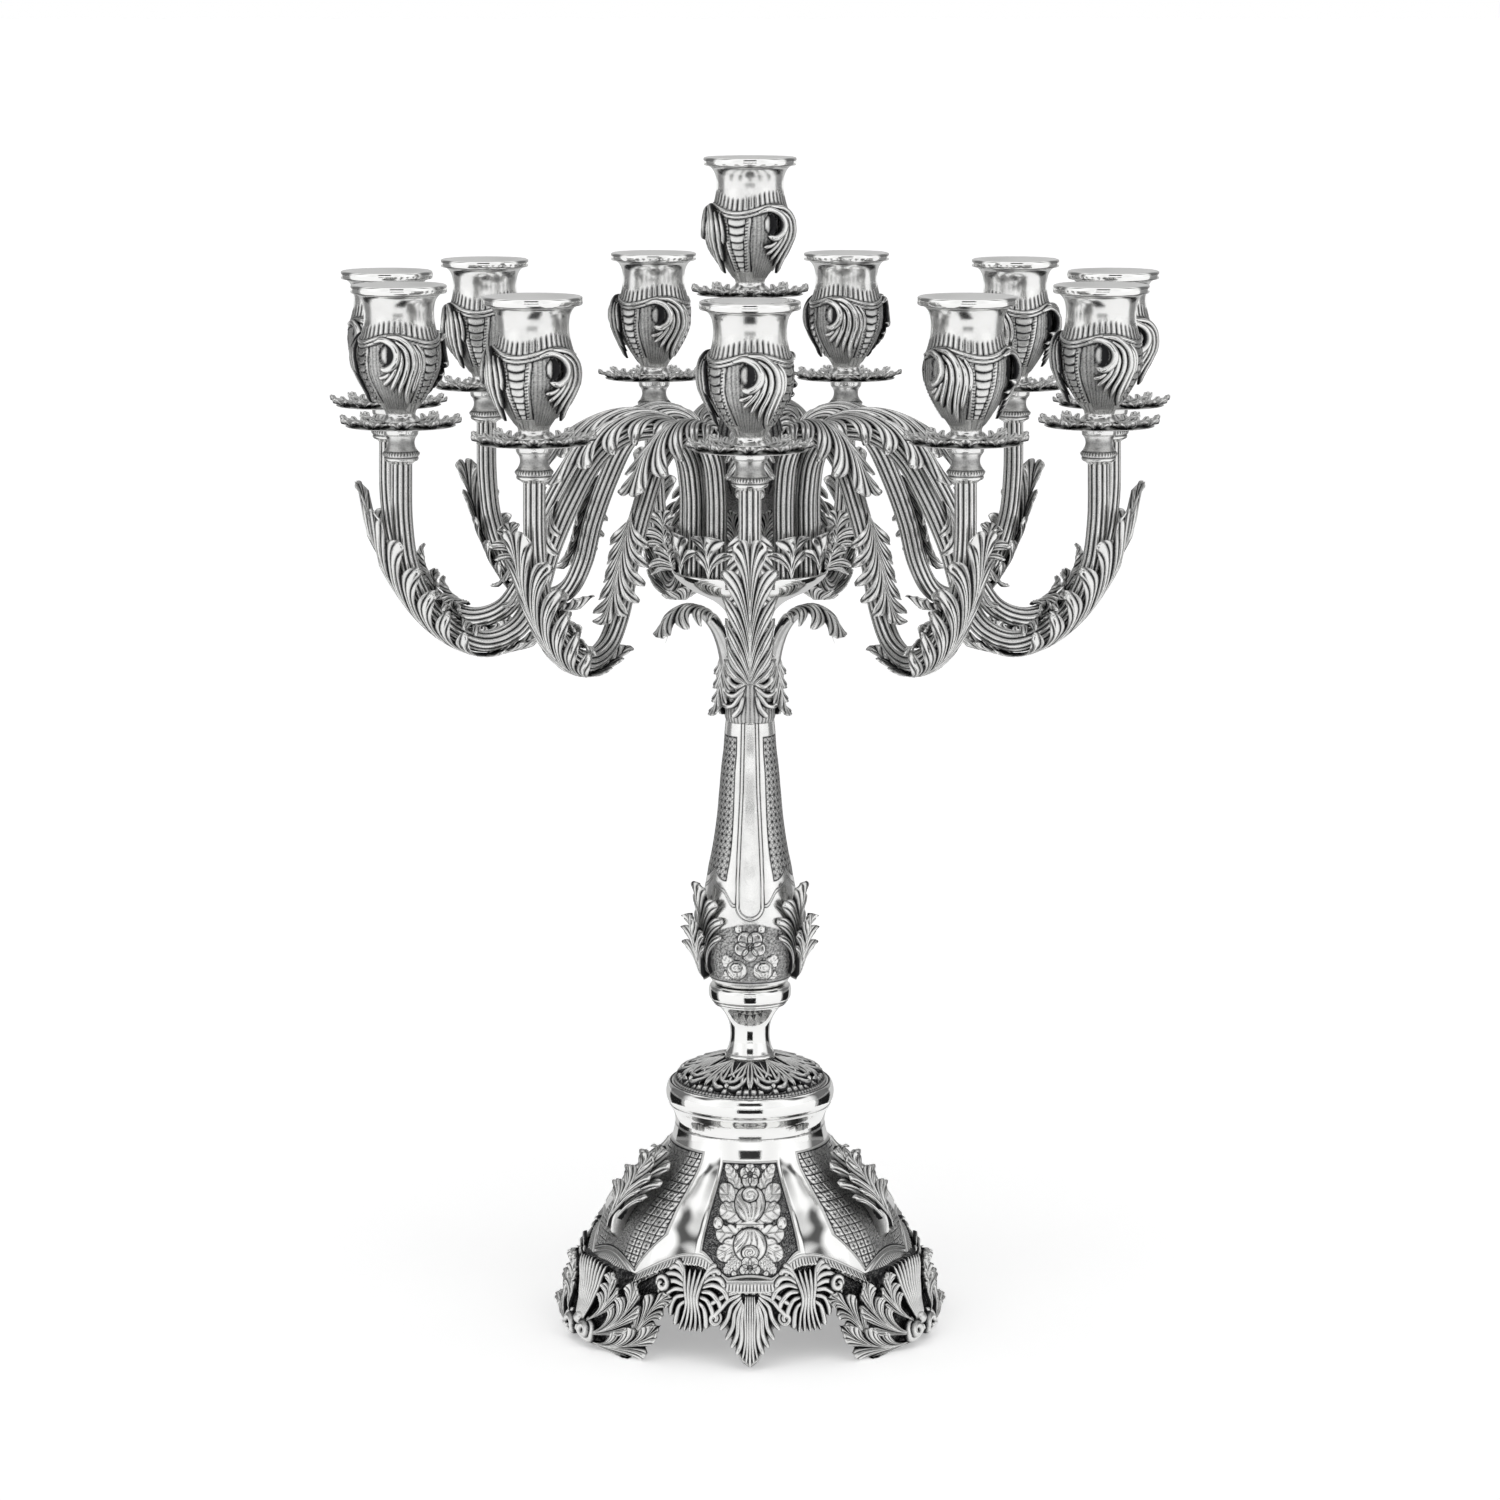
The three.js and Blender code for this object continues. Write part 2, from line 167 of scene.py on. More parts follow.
# ---------------------------------------------------------------- curves and profiles
def curve_through(points, step):
    """Points about one step apart along a smooth curve through the given ones."""
    p = np.array(points, float)
    if len(p) == 2:
        count = max(2, int(np.linalg.norm(p[1] - p[0]) / step) + 1)
        return p[0] + np.linspace(0, 1, count)[:, None] * (p[1] - p[0])
    ends = np.concatenate([[2 * p[0] - p[1]], p, [2 * p[-1] - p[-2]]])
    out = []
    for i in range(len(p) - 1):
        a, b, c, d = ends[i:i + 4]
        count = max(1, int(round(np.linalg.norm(c - b) / step)))
        t = (np.arange(count) / count)[:, None]
        tb = np.linalg.norm(b - a) ** 0.5
        tc = tb + np.linalg.norm(c - b) ** 0.5
        td = tc + np.linalg.norm(d - c) ** 0.5
        u = tb + t * (tc - tb)
        ab = (tb - u) / tb * a + u / tb * b
        bc = (tc - u) / (tc - tb) * b + (u - tb) / (tc - tb) * c
        cd = (td - u) / (td - tc) * c + (u - tc) / (td - tc) * d
        abc = (tc - u) / tc * ab + u / tc * bc
        bcd = (td - u) / (td - tb) * bc + (u - tb) / (td - tb) * cd
        out.append((tc - u) / (tc - tb) * abc + (u - tb) / (tc - tb) * bcd)
    return np.concatenate(out + [p[-1:]])


def profile(runs, step):
    """A [radius, height] outline from smooth runs. They meet at corners: each run after the first
    starts where the one before it ends."""
    parts = [curve_through(runs[0], step)]
    for before, run in zip(runs, runs[1:]):
        parts.append(curve_through([before[-1]] + run, step)[1:])
    return np.concatenate(parts)


def smoothstep(x, low, high):
    t = np.clip((x - low) / (high - low), 0, 1)
    return t * t * (3 - 2 * t)


def between(x, rise_from, rise_to, fall_from, fall_to):
    """1 between two soft edges and 0 outside them."""
    return smoothstep(x, rise_from, rise_to) * (1 - smoothstep(x, fall_from, fall_to))


def wave(x, power=1.0):
    """Rounded ridges with sharp valleys: 0 in a valley at whole numbers, 1 on a ridge."""
    return np.abs(np.sin(np.pi * x)) ** power


def fold(value, step):
    """How far an angle or a length is from the nearest multiple of step."""
    return (value + step / 2) % step - step / 2


def chips(shape, seed, power):
    """Seeded fine noise for punched grounds, between 0 and 1."""
    return np.random.default_rng(seed).random(shape) ** power


def bump(x, width):
    return np.exp(-((x / width) ** 2))


def around(angle, radius, height):
    """Points at an angle in radians, a radius and a height, which may be rows, columns or both."""
    return np.stack(np.broadcast_arrays(radius * np.sin(angle), -radius * np.cos(angle), height), axis=-1)


def turned(outline, columns, relief=None):
    """Turns an outline round the Z axis. relief(angle, radius, height) gives how far each point
    stands proud of it, and how dark it is, from tarnish and from any painted shade."""
    r, z = outline[:, 0], outline[:, 1]
    dr, dz = np.gradient(r), np.gradient(z)
    size = np.hypot(dr, dz) + 1e-9
    angle = np.arange(columns) * 2 * np.pi / columns
    a, radius = np.meshgrid(angle, r)
    height = np.meshgrid(angle, z)[1]
    proud = np.zeros_like(a)
    tarnish = np.zeros_like(a)
    if relief:
        proud, tarnish = relief(np.degrees(a), radius, height)
    radius = radius + proud * (dz / size)[:, None]
    height = height - proud * (dr / size)[:, None]
    return grid(around(a, radius, height), tarnish, wrap=True)


class Path:
    """A smooth line in space with a normal and a sideways direction at each point."""

    def __init__(self, points, step, side):
        self.points = curve_through(points, step)
        along = np.linalg.norm(np.diff(self.points, axis=0), axis=1)
        self.along = np.concatenate([[0], np.cumsum(along)])
        self.length = self.along[-1]
        tangent = np.gradient(self.points, axis=0)
        self.tangent = tangent / np.linalg.norm(tangent, axis=1)[:, None]
        self.side = np.broadcast_to(np.array(side, float), self.points.shape)
        normal = np.cross(self.side, self.tangent)
        self.normal = normal / np.linalg.norm(normal, axis=1)[:, None]

    def at(self, distance):
        """Point, normal and side at distances along the line."""
        def read(values):
            return np.stack([np.interp(distance, self.along, values[:, i]) for i in range(3)], axis=-1)
        return read(self.points), read(self.normal), read(self.side)

    def ring(self, angle, flat=1.0):
        """Directions round the line at each of its points; flat squeezes them along the normal."""
        up = flat * np.cos(angle)[None, :, None] * self.normal[:, None]
        return up + np.sin(angle)[None, :, None] * self.side[:, None]


def upright(line, step, side=(-1, 0, 0)):
    """A path in the plane through the stem and the front, from [reach, height] points."""
    return Path([(0, -reach, height) for reach, height in line], step, side)


# ---------------------------------------------------------------- acanthus leaves
def leaf_shape(length, width, lobes=5, flutes=3, cut=0.68, first=0.16, tip=0.3, sweep=0.84):
    """A leaf laid flat: across, along, relief and tarnish, over rows from base to tip and columns
    from the left edge over the midrib to the right edge. Its fibres run along the midrib, then
    splay out to the edge in lobes, and each lobe holds a few flutes."""
    per_lobe = 5 * flutes
    # p runs from base to tip, q from the midrib to the edge, and f across one lobe
    p = np.linspace(0, 1, lobes * per_lobe + 1)
    q = np.linspace(0, 1, 13)
    side = np.concatenate([-np.ones(12), np.ones(13)])
    q = np.concatenate([q[:0:-1], q])
    p, q = np.meshgrid(p, q, indexing="ij")
    side = np.broadcast_to(side, p.shape)
    f = np.clip(p * lobes - np.minimum(np.floor(p * lobes), lobes - 1), 0, 1)
    edge = width * (1 - p) ** 1.05 * (0.6 + 2.0 * p)
    out = length * (first + (1 - first) * p)
    root = length * (1 - tip) * p ** 1.45
    reach = q * (1 - cut * np.abs(2 * f - 1) ** 2.4 * (1 - 0.3 * p))
    bend_x, bend_y = 0.2 * edge, root + sweep * (out - root)
    x = 2 * reach * (1 - reach) * bend_x + reach ** 2 * edge
    y = (1 - reach) ** 2 * root + 2 * reach * (1 - reach) * bend_y + reach ** 2 * out
    flute = wave(f * flutes, 0.8)
    hump = np.sin(np.pi * f)
    spread = smoothstep(q, 0.0, 0.3)
    relief = spread * (hump * (0.6 + 1.6 * q ** 2) + 0.55 * flute) + 0.9 * bump(x, 0.7 + 0.04 * width)
    inner = 1 - 0.7 * smoothstep(q, 0.7, 1.0)
    tarnish = spread * (1.6 * (1 - flute) ** 2.8 * inner + 1.6 * np.abs(2 * f - 1) ** 6)
    return side * x, y, relief, tarnish, p, q * (0.35 + 0.65 * hump) ** 0.34


def lay_leaf(shape, path, start, wrap, scale, lift=0.0, curl=0.0, edge_lift=0.0, turn=0.0,
             sunk=0.0, thick=0.9, keel=0.0, flip=False):
    """Bends a flat leaf round a path. wrap is the radius that it is rolled to, sunk how far that
    roll's middle lies below the path, curl how far the tip rises, edge_lift how far its edges do,
    and keel how deep a web under the midrib reaches, which holds the leaf to the wall behind."""
    x, y, relief, tarnish, p, q = shape
    distance = start + (-y if flip else y)
    point, normal, side = path.at(np.clip(distance, 0, path.length))
    roll = x / wrap + math.radians(turn)
    proud = lift + relief * scale + curl * p ** 4 + edge_lift * q ** 3
    layers = []
    for depth in (0.0, thick + keel * bump(q, 0.25) * (1 - p ** 2)):
        reach = (wrap + proud - depth)[..., None]
        outward = np.cos(roll)[..., None] * normal + np.sin(roll)[..., None] * side
        layers.append(point + reach * outward - sunk * normal)
    front, back = layers
    if flip:
        front, back = front[:, ::-1], back[:, ::-1]
        tarnish = tarnish[:, ::-1]
    return sheet(front[:, ::-1], back[:, ::-1], tarnish[:, ::-1])


# ---------------------------------------------------------------- materials
def calculator(tree, clamp=False):
    """A function that adds a math node to the tree, from numbers or sockets, and gives its output."""
    def calc(operation, *values):
        made = tree.nodes.new("ShaderNodeMath")
        made.operation = operation
        made.use_clamp = clamp
        for socket, value in zip(made.inputs, values):
            if isinstance(value, (int, float)):
                socket.default_value = value
            else:
                tree.links.new(value, socket)
        return made.outputs[0]
    return calc


def silver(name, bright, dark, roughness, wear):
    """Oxidised silver: dark where its attribute of tarnish and painted shade says, with a punched
    ground there, and rubbed bright on the high points. wear is how uneven the tarnish is."""
    material = bpy.data.materials.new(name)
    material.use_nodes = True
    nodes, links = material.node_tree.nodes, material.node_tree.links
    calc = calculator(material.node_tree, clamp=True)
    shader = nodes["Principled BSDF"]
    shader.inputs["Metallic"].default_value = 1.0

    def node(kind, **values):
        made = nodes.new(kind)
        for key, value in values.items():
            made.inputs[key].default_value = value
        return made

    place = nodes.new("ShaderNodeTexCoord").outputs["Object"]
    attribute = nodes.new("ShaderNodeAttribute")
    attribute.attribute_name = "tarnish"
    cloud = node("ShaderNodeTexNoise", Scale=90.0, Detail=5.0, Roughness=0.6)
    fine = node("ShaderNodeTexNoise", Scale=1900.0, Detail=3.0, Roughness=0.65)
    punch = node("ShaderNodeTexVoronoi", Scale=1300.0)
    for texture in (cloud, fine, punch):
        links.new(place, texture.inputs["Vector"])
    # darkness: the attribute's tarnish and painted shade, then uneven patina and punched holes
    uneven = calc("MULTIPLY", attribute.outputs["Fac"], 1.25)
    patchy = calc("MULTIPLY_ADD", cloud.outputs["Fac"], 0.5, -0.2)
    speck = calc("MULTIPLY_ADD", fine.outputs["Fac"], 0.5, -0.22)
    dirt_and_shade = calc("ADD", uneven, calc("MULTIPLY", calc("ADD", patchy, speck), wear))
    holes = calc("MULTIPLY", calc("SUBTRACT", 0.55, punch.outputs["Distance"]), 1.2)
    holes = calc("MULTIPLY", holes, uneven)
    dirt_and_shade = calc("ADD", dirt_and_shade, holes)

    colour = nodes.new("ShaderNodeMix")
    colour.data_type = "RGBA"
    colour.inputs["A"].default_value = (*bright, 1)
    colour.inputs["B"].default_value = (*dark, 1)
    links.new(dirt_and_shade, colour.inputs["Factor"])
    links.new(colour.outputs["Result"], shader.inputs["Base Color"])
    rough = nodes.new("ShaderNodeMapRange")
    rough.inputs["From Max"].default_value = 0.45
    rough.inputs["To Min"].default_value = roughness
    rough.inputs["To Max"].default_value = 0.55
    links.new(dirt_and_shade, rough.inputs["Value"])
    links.new(rough.outputs["Result"], shader.inputs["Roughness"])
    height = calc("ADD", calc("MULTIPLY", fine.outputs["Fac"], 0.25), holes)
    relief = node("ShaderNodeBump", Strength=0.12, Distance=0.0004)
    links.new(height, relief.inputs["Height"])
    links.new(relief.outputs["Normal"], shader.inputs["Normal"])
    return material


BRIGHT = (0.90, 0.90, 0.89)
BLACK = (0.035, 0.035, 0.037)
polished = silver("polished_silver", BRIGHT, BLACK, 0.07, wear=0.12)
chased = silver("chased_silver", (0.86, 0.86, 0.85), BLACK, 0.16, wear=0.5)
cast = silver("oxidised_cast_silver", (0.84, 0.84, 0.83), (0.03, 0.03, 0.032), 0.22, wear=0.75)
steel = silver("turned_steel", (0.55, 0.55, 0.54), (0.12, 0.12, 0.12), 0.35, wear=0.8)


# ---------------------------------------------------------------- the lights
def nozzle_patch():
    sleeve, bore = 12.6, 11.2
    top = CUP_HEIGHT
    outline = profile([
        [(0.05, top - 31), (sleeve, top - 31)],
        [(sleeve, top - 4.4)],
        [(21.9, top - 4.4)],
        [(24.3, top - 4.4), (24.7, top - 4.1)],
        [(24.9, top - 3.6), (24.9, top - 0.9), (24.6, top - 0.3), (23.8, top)],
        [(22.4, top - 0.3), (17, top - 2.0), (bore + 0.8, top - 3.2), (bore, top - 4.6)],
        [(bore, top - 29.5)],
        [(0.05, top - 29.5)],
    ], 1.2)

    def relief(angle, radius, height):
        inside = (radius < bore + 0.4) & (height < top - 3)
        return 0 * radius, np.where(inside, 0.35, 0.0)
    return turned(outline, 96, relief)


def band_height(angle):
    """Height of the wavy shoulder band on a cup, below the rim: it dips over each shell panel."""
    return CUP_HEIGHT - 28 - 2.0 * np.cos(np.radians(3 * angle))


def cup_relief(angle, radius, height):
    top = CUP_HEIGHT
    across = np.radians(fold(angle, 120)) * radius
    scroll = np.radians(fold(angle - 60, 120)) * radius
    band = band_height(angle)
    above = height - band
    rough = chips(radius.shape, 3, 1.2)
    proud = np.zeros_like(radius)
    dark = np.zeros_like(radius)
    # the double moulding of the wavy band
    proud += bump(above - 0.9, 0.85) * 1.1 + bump(above + 1.1, 0.65) * 0.7
    dark += 1.0 * bump(above + 0.15, 0.35) + 0.8 * bump(above + 2.1, 0.45) + 0.7 * bump(above - 2.1, 0.4)
    # short flutes that stand on the band
    flutes = wave(angle / 360 * 40, 0.7)
    reach = between(above, 1.9, 2.9, 7.2, 9.6)
    proud -= 0.5 * (1 - flutes) * reach
    dark += 1.1 * (1 - flutes) ** 1.2 * reach
    # the shell panel: scallops between two beaded edges, narrowing downwards
    low = top - 60
    span = smoothstep(-above, 1.8, 2.4) * smoothstep(height, low - 0.6, low)
    fall = np.clip((band - height) / (band - low), 0, 1)
    half = 7.6 - 3.8 * fall ** 1.3
    inside = smoothstep(half - 2.6 - np.abs(across), -0.15, 0.3) * span
    scallop_at = (band - height - 1.5) / (5.0 - 1.3 * fall) + 0.34 * (across / half) ** 2
    step = scallop_at - np.floor(scallop_at)
    proud += inside * (1.2 * step - 0.35)
    dark += inside * (bump(step - 1.0, 0.13) * 1.1 + bump(step, 0.12) * 1.1 + 0.16 * (1 - step))
    rail = bump(np.abs(across) - half, 0.45) * span
    bead_line = bump(np.abs(across) - half + 1.35, 0.75) * span
    bead = wave((band - height) / 1.7, 0.8)
    proud += 0.85 * rail + 0.95 * bead_line * bead
    dark += bead_line * (1 - bead) * 1.3 + 0.9 * bump(np.abs(across) - half - 0.85, 0.4) * span
    dark += 0.9 * bump(np.abs(across) - half + 2.4, 0.3) * span
    # the ground behind the scroll leaves, darker behind them, and the eye of each scroll: a dent painted as
    # an opening, bright on its left, in painted shade on its right, in a ring of painted shade
    ground = smoothstep(np.abs(across) - half, 0.8, 1.4) * smoothstep(-above, 2, 3)
    ground = ground * smoothstep(height, 6.4, 8.0)
    veins = wave(angle / 360 * 60, 0.8)
    behind = bump(scroll - 2.0, 8.0) * smoothstep(height, 14, 22)
    dark += ground * (0.08 + 0.3 * (1 - veins) + 0.2 * (1 - rough) + 0.25 * behind)
    proud += ground * (0.3 * veins + 0.2 * rough)
    eye_far = np.hypot((scroll + 3.4) / 3.4, (height - 36.2) / 5.0)
    eye = smoothstep(1 - eye_far ** 2, -0.1, 0.2)
    ring = bump(eye_far - 0.95, 0.2)
    # painted shade: the eye's colour shows an opening, with its right side and a ring round it dark and its
    # left bright
    dark = dark * (1 - eye) + eye * (0.05 + 0.85 * smoothstep(scroll, -4.6, -2.0)) + 0.4 * ring * ground
    proud -= eye * 1.2
    wall = (radius > 13.9) | (height < 35)
    return np.where(wall, proud, 0), np.where(wall, dark, 0.3)


def cup_patch():
    top = CUP_HEIGHT
    bore = 13.2
    outline = profile([
        [(3.3, 0.0), (9.6, 0.0)],
        [(10.1, 0.7), (9.2, 1.6), (8.0, 3.4), (7.9, 5.2), (9.0, 7.2), (11.6, 11.0), (15.4, 17.0),
         (18.6, 23.0), (20.4, 28.0), (21.0, 33.0), (21.0, 38.0), (20.5, 43.0), (19.4, 47.0), (18.5, 51.0),
         (18.1, 55.0), (18.2, 59.0), (19.0, 62.6), (20.6, 65.2), (21.9, top - 4.9)],
        [(bore, top - 4.9)],
        [(bore, top - 32)],
        [(0.05, top - 32)],
    ], 0.6)
    # inside the bore, every fourth point is enough
    thin = np.arange(len(outline)) % 4 == 0
    last = np.arange(len(outline)) == len(outline) - 1
    inner = np.cumsum(outline[:, 1] >= top - 4.95) > 12
    outline = outline[~inner | thin | last]
    return turned(outline, 208, cup_relief)


def wall_surface(radius_at, reach, centre=0):
    """A turned wall for fingers: arcs are measured at the radius reach, and up is height."""
    def place(arc, height, proud):
        return around(arc / reach + math.radians(centre), radius_at(height) + proud, height)
    return place


def finger(points, width, rise, surface, thick=1.0, even=False):
    """A tapered ridge along a line on a curved surface: [across, up, proud] points, which are
    already close enough together where even is true."""
    line = np.array(points, float) if even else curve_through(points, 0.8)
    t = np.linspace(0, 1, len(line))
    tangent = np.gradient(line[:, :2], axis=0)
    tangent /= np.linalg.norm(tangent, axis=1)[:, None]
    across = np.stack([-tangent[:, 1], tangent[:, 0]], axis=-1)
    half = width * np.interp(t, [0, 0.12, 0.5, 0.85, 0.95, 1], [0.45, 0.75, 0.95, 1.0, 0.75, 0.15])
    v = np.linspace(-1, 1, 11)
    arc = line[:, 0, None] + across[:, 0, None] * half[:, None] * v
    height = line[:, 1, None] + across[:, 1, None] * half[:, None] * v
    proud = line[:, 2, None] + rise * (half[:, None] / width) * (1 - v ** 2) ** 0.5
    back = surface(arc, height, line[:, 2:] - thick)
    return sheet(surface(arc, height, proud), back, 0.95 * np.abs(v) ** 3.5)


def wall_leaf(shape, points, surface, scale, lift, curl, edge_lift, thick):
    """Lays a flat leaf on a curved wall, along a line of [across, up] points."""
    x, y, relief, tarnish, p, q = shape
    line = curve_through(points, 0.8)
    along = np.concatenate([[0], np.cumsum(np.linalg.norm(np.diff(line, axis=0), axis=1))])
    tangent = np.gradient(line, axis=0)
    tangent /= np.linalg.norm(tangent, axis=1)[:, None]
    distance = y / y.max() * along[-1]
    place = [np.interp(distance, along, line[:, i]) for i in range(2)]
    lead = [np.interp(distance, along, tangent[:, i]) for i in range(2)]
    arc = place[0] + lead[1] * x
    height = np.maximum(place[1] - lead[0] * x, 0.4)
    proud = lift + relief * scale + curl * p ** 3 + edge_lift * q ** 3
    front, back = surface(arc, height, proud), surface(arc, height, proud - thick)
    return sheet(front, back, tarnish)


def cup_wall(height):
    return np.interp(height, [5, 7.2, 11, 17, 23, 28, 33, 38, 43, 47],
                     [7.9, 9, 11.6, 15.4, 18.6, 20.4, 21, 21, 20.5, 19.4])


def cup_scroll(centre):
    """The openwork scroll leaf between two shell panels: a C-scroll with a leaf hanging from it."""
    lines = [
        ([(-10.6, 42.6, 0.8), (-4.6, 44.2, 2.0), (0.8, 41.4, 3.2), (2.8, 36.4, 4.0), (1.2, 31.4, 4.0),
          (-2.6, 29.0, 3.6), (-6.0, 30.2, 3.0)], 2.0, 2.2),
        ([(-3.0, 45.8, 1.4), (4.6, 44.6, 2.6), (9.4, 39.4, 3.6), (10.8, 31.4, 3.8), (9.4, 23.4, 3.2),
          (8.0, 15.6, 3.6), (8.6, 9.8, 5.2)], 1.9, 2.0),
        ([(1.8, 43.4, 2.2), (6.2, 39.4, 3.2), (7.6, 33.0, 3.4), (6.6, 26.0, 3.0), (4.2, 19.0, 2.8),
          (3.4, 13.6, 3.2)], 1.6, 1.9),
        ([(4.0, 39.0, 2.8), (4.8, 33.4, 3.2), (3.6, 27.2, 2.8), (0.8, 21.4, 2.6), (-1.6, 17.0, 2.8)],
         1.5, 1.8),
        ([(2.4, 30.6, 3.0), (0.6, 26.4, 2.8), (-2.8, 22.4, 2.6), (-5.6, 20.2, 2.8)], 1.4, 1.7),
        ([(-0.8, 27.2, 2.8), (-3.8, 25.0, 2.6), (-7.6, 24.2, 2.4)], 1.3, 1.6),
        ([(9.2, 42.4, 2.0), (12.8, 36.6, 3.0), (13.6, 29.4, 2.8), (12.4, 22.0, 2.6), (11.4, 16.2, 3.2)],
         1.6, 1.8),
        ([(12.6, 41.8, 1.6), (15.2, 37.0, 2.2), (16.0, 31.0, 2.0), (15.2, 25.4, 2.0)], 1.3, 1.5),
    ]
    surface = wall_surface(cup_wall, 22, centre)
    return [finger(line, width, rise, surface) for line, width, rise in lines]


def drip_pan_patch():
    """A flat cast disc of ten overlapping leaves round a plain middle."""
    path = upright([(7, -1.5), (20, -1.5), (30, -0.9), (34.9, 0.1)], 0.7)
    shape = leaf_shape(27.6, 8.4, 4, 2, 0.6, 0.3)
    flat = lay_leaf(shape, path, 0.2, 60, 1.1, edge_lift=0.6, curl=0.5, sunk=60, thick=0.8)
    leaves = [turn_patch(shaded(flat, 0.6), turn) for turn in range(0, 360, 36)]
    middle = turned(profile([[(3.4, -1.7), (9.5, -1.6)], [(10.4, -1.1), (9.5, -0.5)],
                             [(3.4, -0.3)], [(3.4, -1.7)]], 0.5), 64)
    web = turned(profile([[(9, -1.9), (28.2, -2.0)], [(28.6, -1.8), (28.2, -1.6)],
                          [(9, -1.4)], [(9, -1.9)]], 2.4), 72,
                 lambda angle, radius, height: (0 * radius, 0.12 + 0 * radius))
    return merge(leaves + [middle, web])


def capital_patch():
    """Spool, beaded ring and ferrule that carry a drip pan, and the stud through the pan."""
    top = -1.9
    outline = profile([
        [(5.4, top - 20), (6.6, top - 19.2)],
        [(7.4, top - 18.6), (8.6, top - 18.0), (9.1, top - 17.0), (8.7, top - 16.2)],
        [(9.2, top - 15.4), (9.3, top - 14.4), (8.9, top - 13.4)],
        [(8.4, top - 12.6), (7.4, top - 10.8), (7.0, top - 8.8), (7.4, top - 6.8),
         (8.5, top - 5.0), (8.9, top - 4.4)],
        [(9.1, top - 3.6), (9.0, top - 0.6), (8.6, top)],
        [(3.0, top)],
        [(3.0, 8.6)],
        [(2.4, 9.0), (0.05, 9.0)],
    ], 0.5)

    def relief(angle, radius, height):
        ring = bump(height - (top - 14.4), 0.8)
        bead = wave(angle / 360 * 36, 0.8)
        dark = 0.9 * ring * (1 - bead) + 0.75 * bump(height - (top - 16.2), 0.35)
        dark += 0.6 * bump(height - (top - 13.2), 0.35) + 0.35 * bump(height - (top - 8.8), 2.4)
        dark += 0.5 * bump(height - (top - 4.6), 0.3)
        return np.where(height < top - 1, 0.55 * ring * bead, 0), dark * (height < top - 0.5)
    return turned(outline, 108, relief)


# ---------------------------------------------------------------- the arms
ARM_LINE = [
    (33, DISH_PLATE), (33, 440), (33.2, 464), (36.5, 482), (45.5, 494), (60, 498), (76, 494.5),
    (90, 484), (104, 462), (116, 437), (124.6, 412), (136.6, 395.5), (153, 390), (169.4, 395.5),
    (185, 410), (195.6, 432), (ARM_REACH, 455), (ARM_REACH, RING_SEAT - 20),
]
TUBE = 5.7
REEDS = 11


def reeded_tube(path):
    columns = REEDS * 6
    angle = np.arange(columns) * 2 * np.pi / columns
    reed = wave(angle * REEDS / (2 * np.pi), 0.7)
    radius = (TUBE - 0.95 + 0.95 * reed)[None, :, None]
    points = path.points[:, None] + radius * path.ring(angle)
    dark = np.broadcast_to(1.5 * (1 - reed) ** 1.4, points.shape[:2])
    return grid(points[:, ::-1], dark[:, ::-1], wrap=True)


def arm_patch():
    path = upright(ARM_LINE, 2.2)
    wrap = TUBE + 0.5
    leaves = [
        # over the arch, its tip curled up clear of the descending limb
        lay_leaf(leaf_shape(102, 15, 6, 3), path, 58, wrap, 1.5, curl=6.5, edge_lift=2.2),
        # down the outside of the descending limb
        lay_leaf(leaf_shape(70, 12, 6, 2), path, 160, wrap, 1.4, lift=0.3, curl=2.0, edge_lift=3.0),
        # up the outside of the last bend, its tip hooked outwards
        lay_leaf(leaf_shape(108, 15, 6, 3), path, 242, wrap, 1.6, curl=8.0, edge_lift=2.8, turn=180),
        # short tail under the bend, back towards the stem
        lay_leaf(leaf_shape(34, 9, 3, 3), path, 254, wrap, 1.5, curl=6.5, edge_lift=1.2, turn=180,
                 flip=True),
        # two fans that rise from the bend on its inner side
        lay_leaf(leaf_shape(30, 11, 3, 3), path, 252, wrap, 1.5, curl=3.0, edge_lift=2.4),
        lay_leaf(leaf_shape(32, 11, 3, 3), path, 276, wrap, 1.5, curl=3.6, edge_lift=2.6),
        # three-lobed leaf at the foot, on its outer side
        lay_leaf(leaf_shape(28, 10, 2, 2, 0.7, 0.4), path, 0.5, wrap, 1.5, curl=5.0, edge_lift=3.0,
                 turn=180),
    ]
    head = turn_patch(capital_patch(), 0, (0, -ARM_REACH, RING_SEAT))
    return merge([reeded_tube(path), head] + leaves)


# ---------------------------------------------------------------- ornament on curved walls
def ball(x, y, cx, cy, radius, rise=1.0):
    far = np.hypot(x - cx, y - cy)
    form = np.sqrt(np.clip(1 - (far / radius) ** 2, 0, 1))
    return form * radius * 0.55 * rise, bump(far - radius * 1.03, 0.26) * 0.95


def blossom(x, y, cx, cy, size, turn=90):
    """An open flower with five round petals and a bead at its heart."""
    height, dark = ball(x, y, cx, cy, 0.26 * size, 2.2)
    for k in range(5):
        a = math.radians(turn + k * 72)
        px, py = cx + 0.6 * size * math.cos(a), cy + 0.6 * size * math.sin(a)
        far = np.hypot(x - px, y - py) / (0.5 * size)
        petal = smoothstep(1 - far, 0, 0.18) * (0.5 + 0.5 * far ** 2) * 0.3 * size
        edge = 0.9 * bump(far - 1.03, 0.09) + 0.45 * bump(far, 0.3)
        height, dark = np.maximum(height, petal), np.maximum(dark, edge)
    return height, np.clip(dark, 0, 0.95)


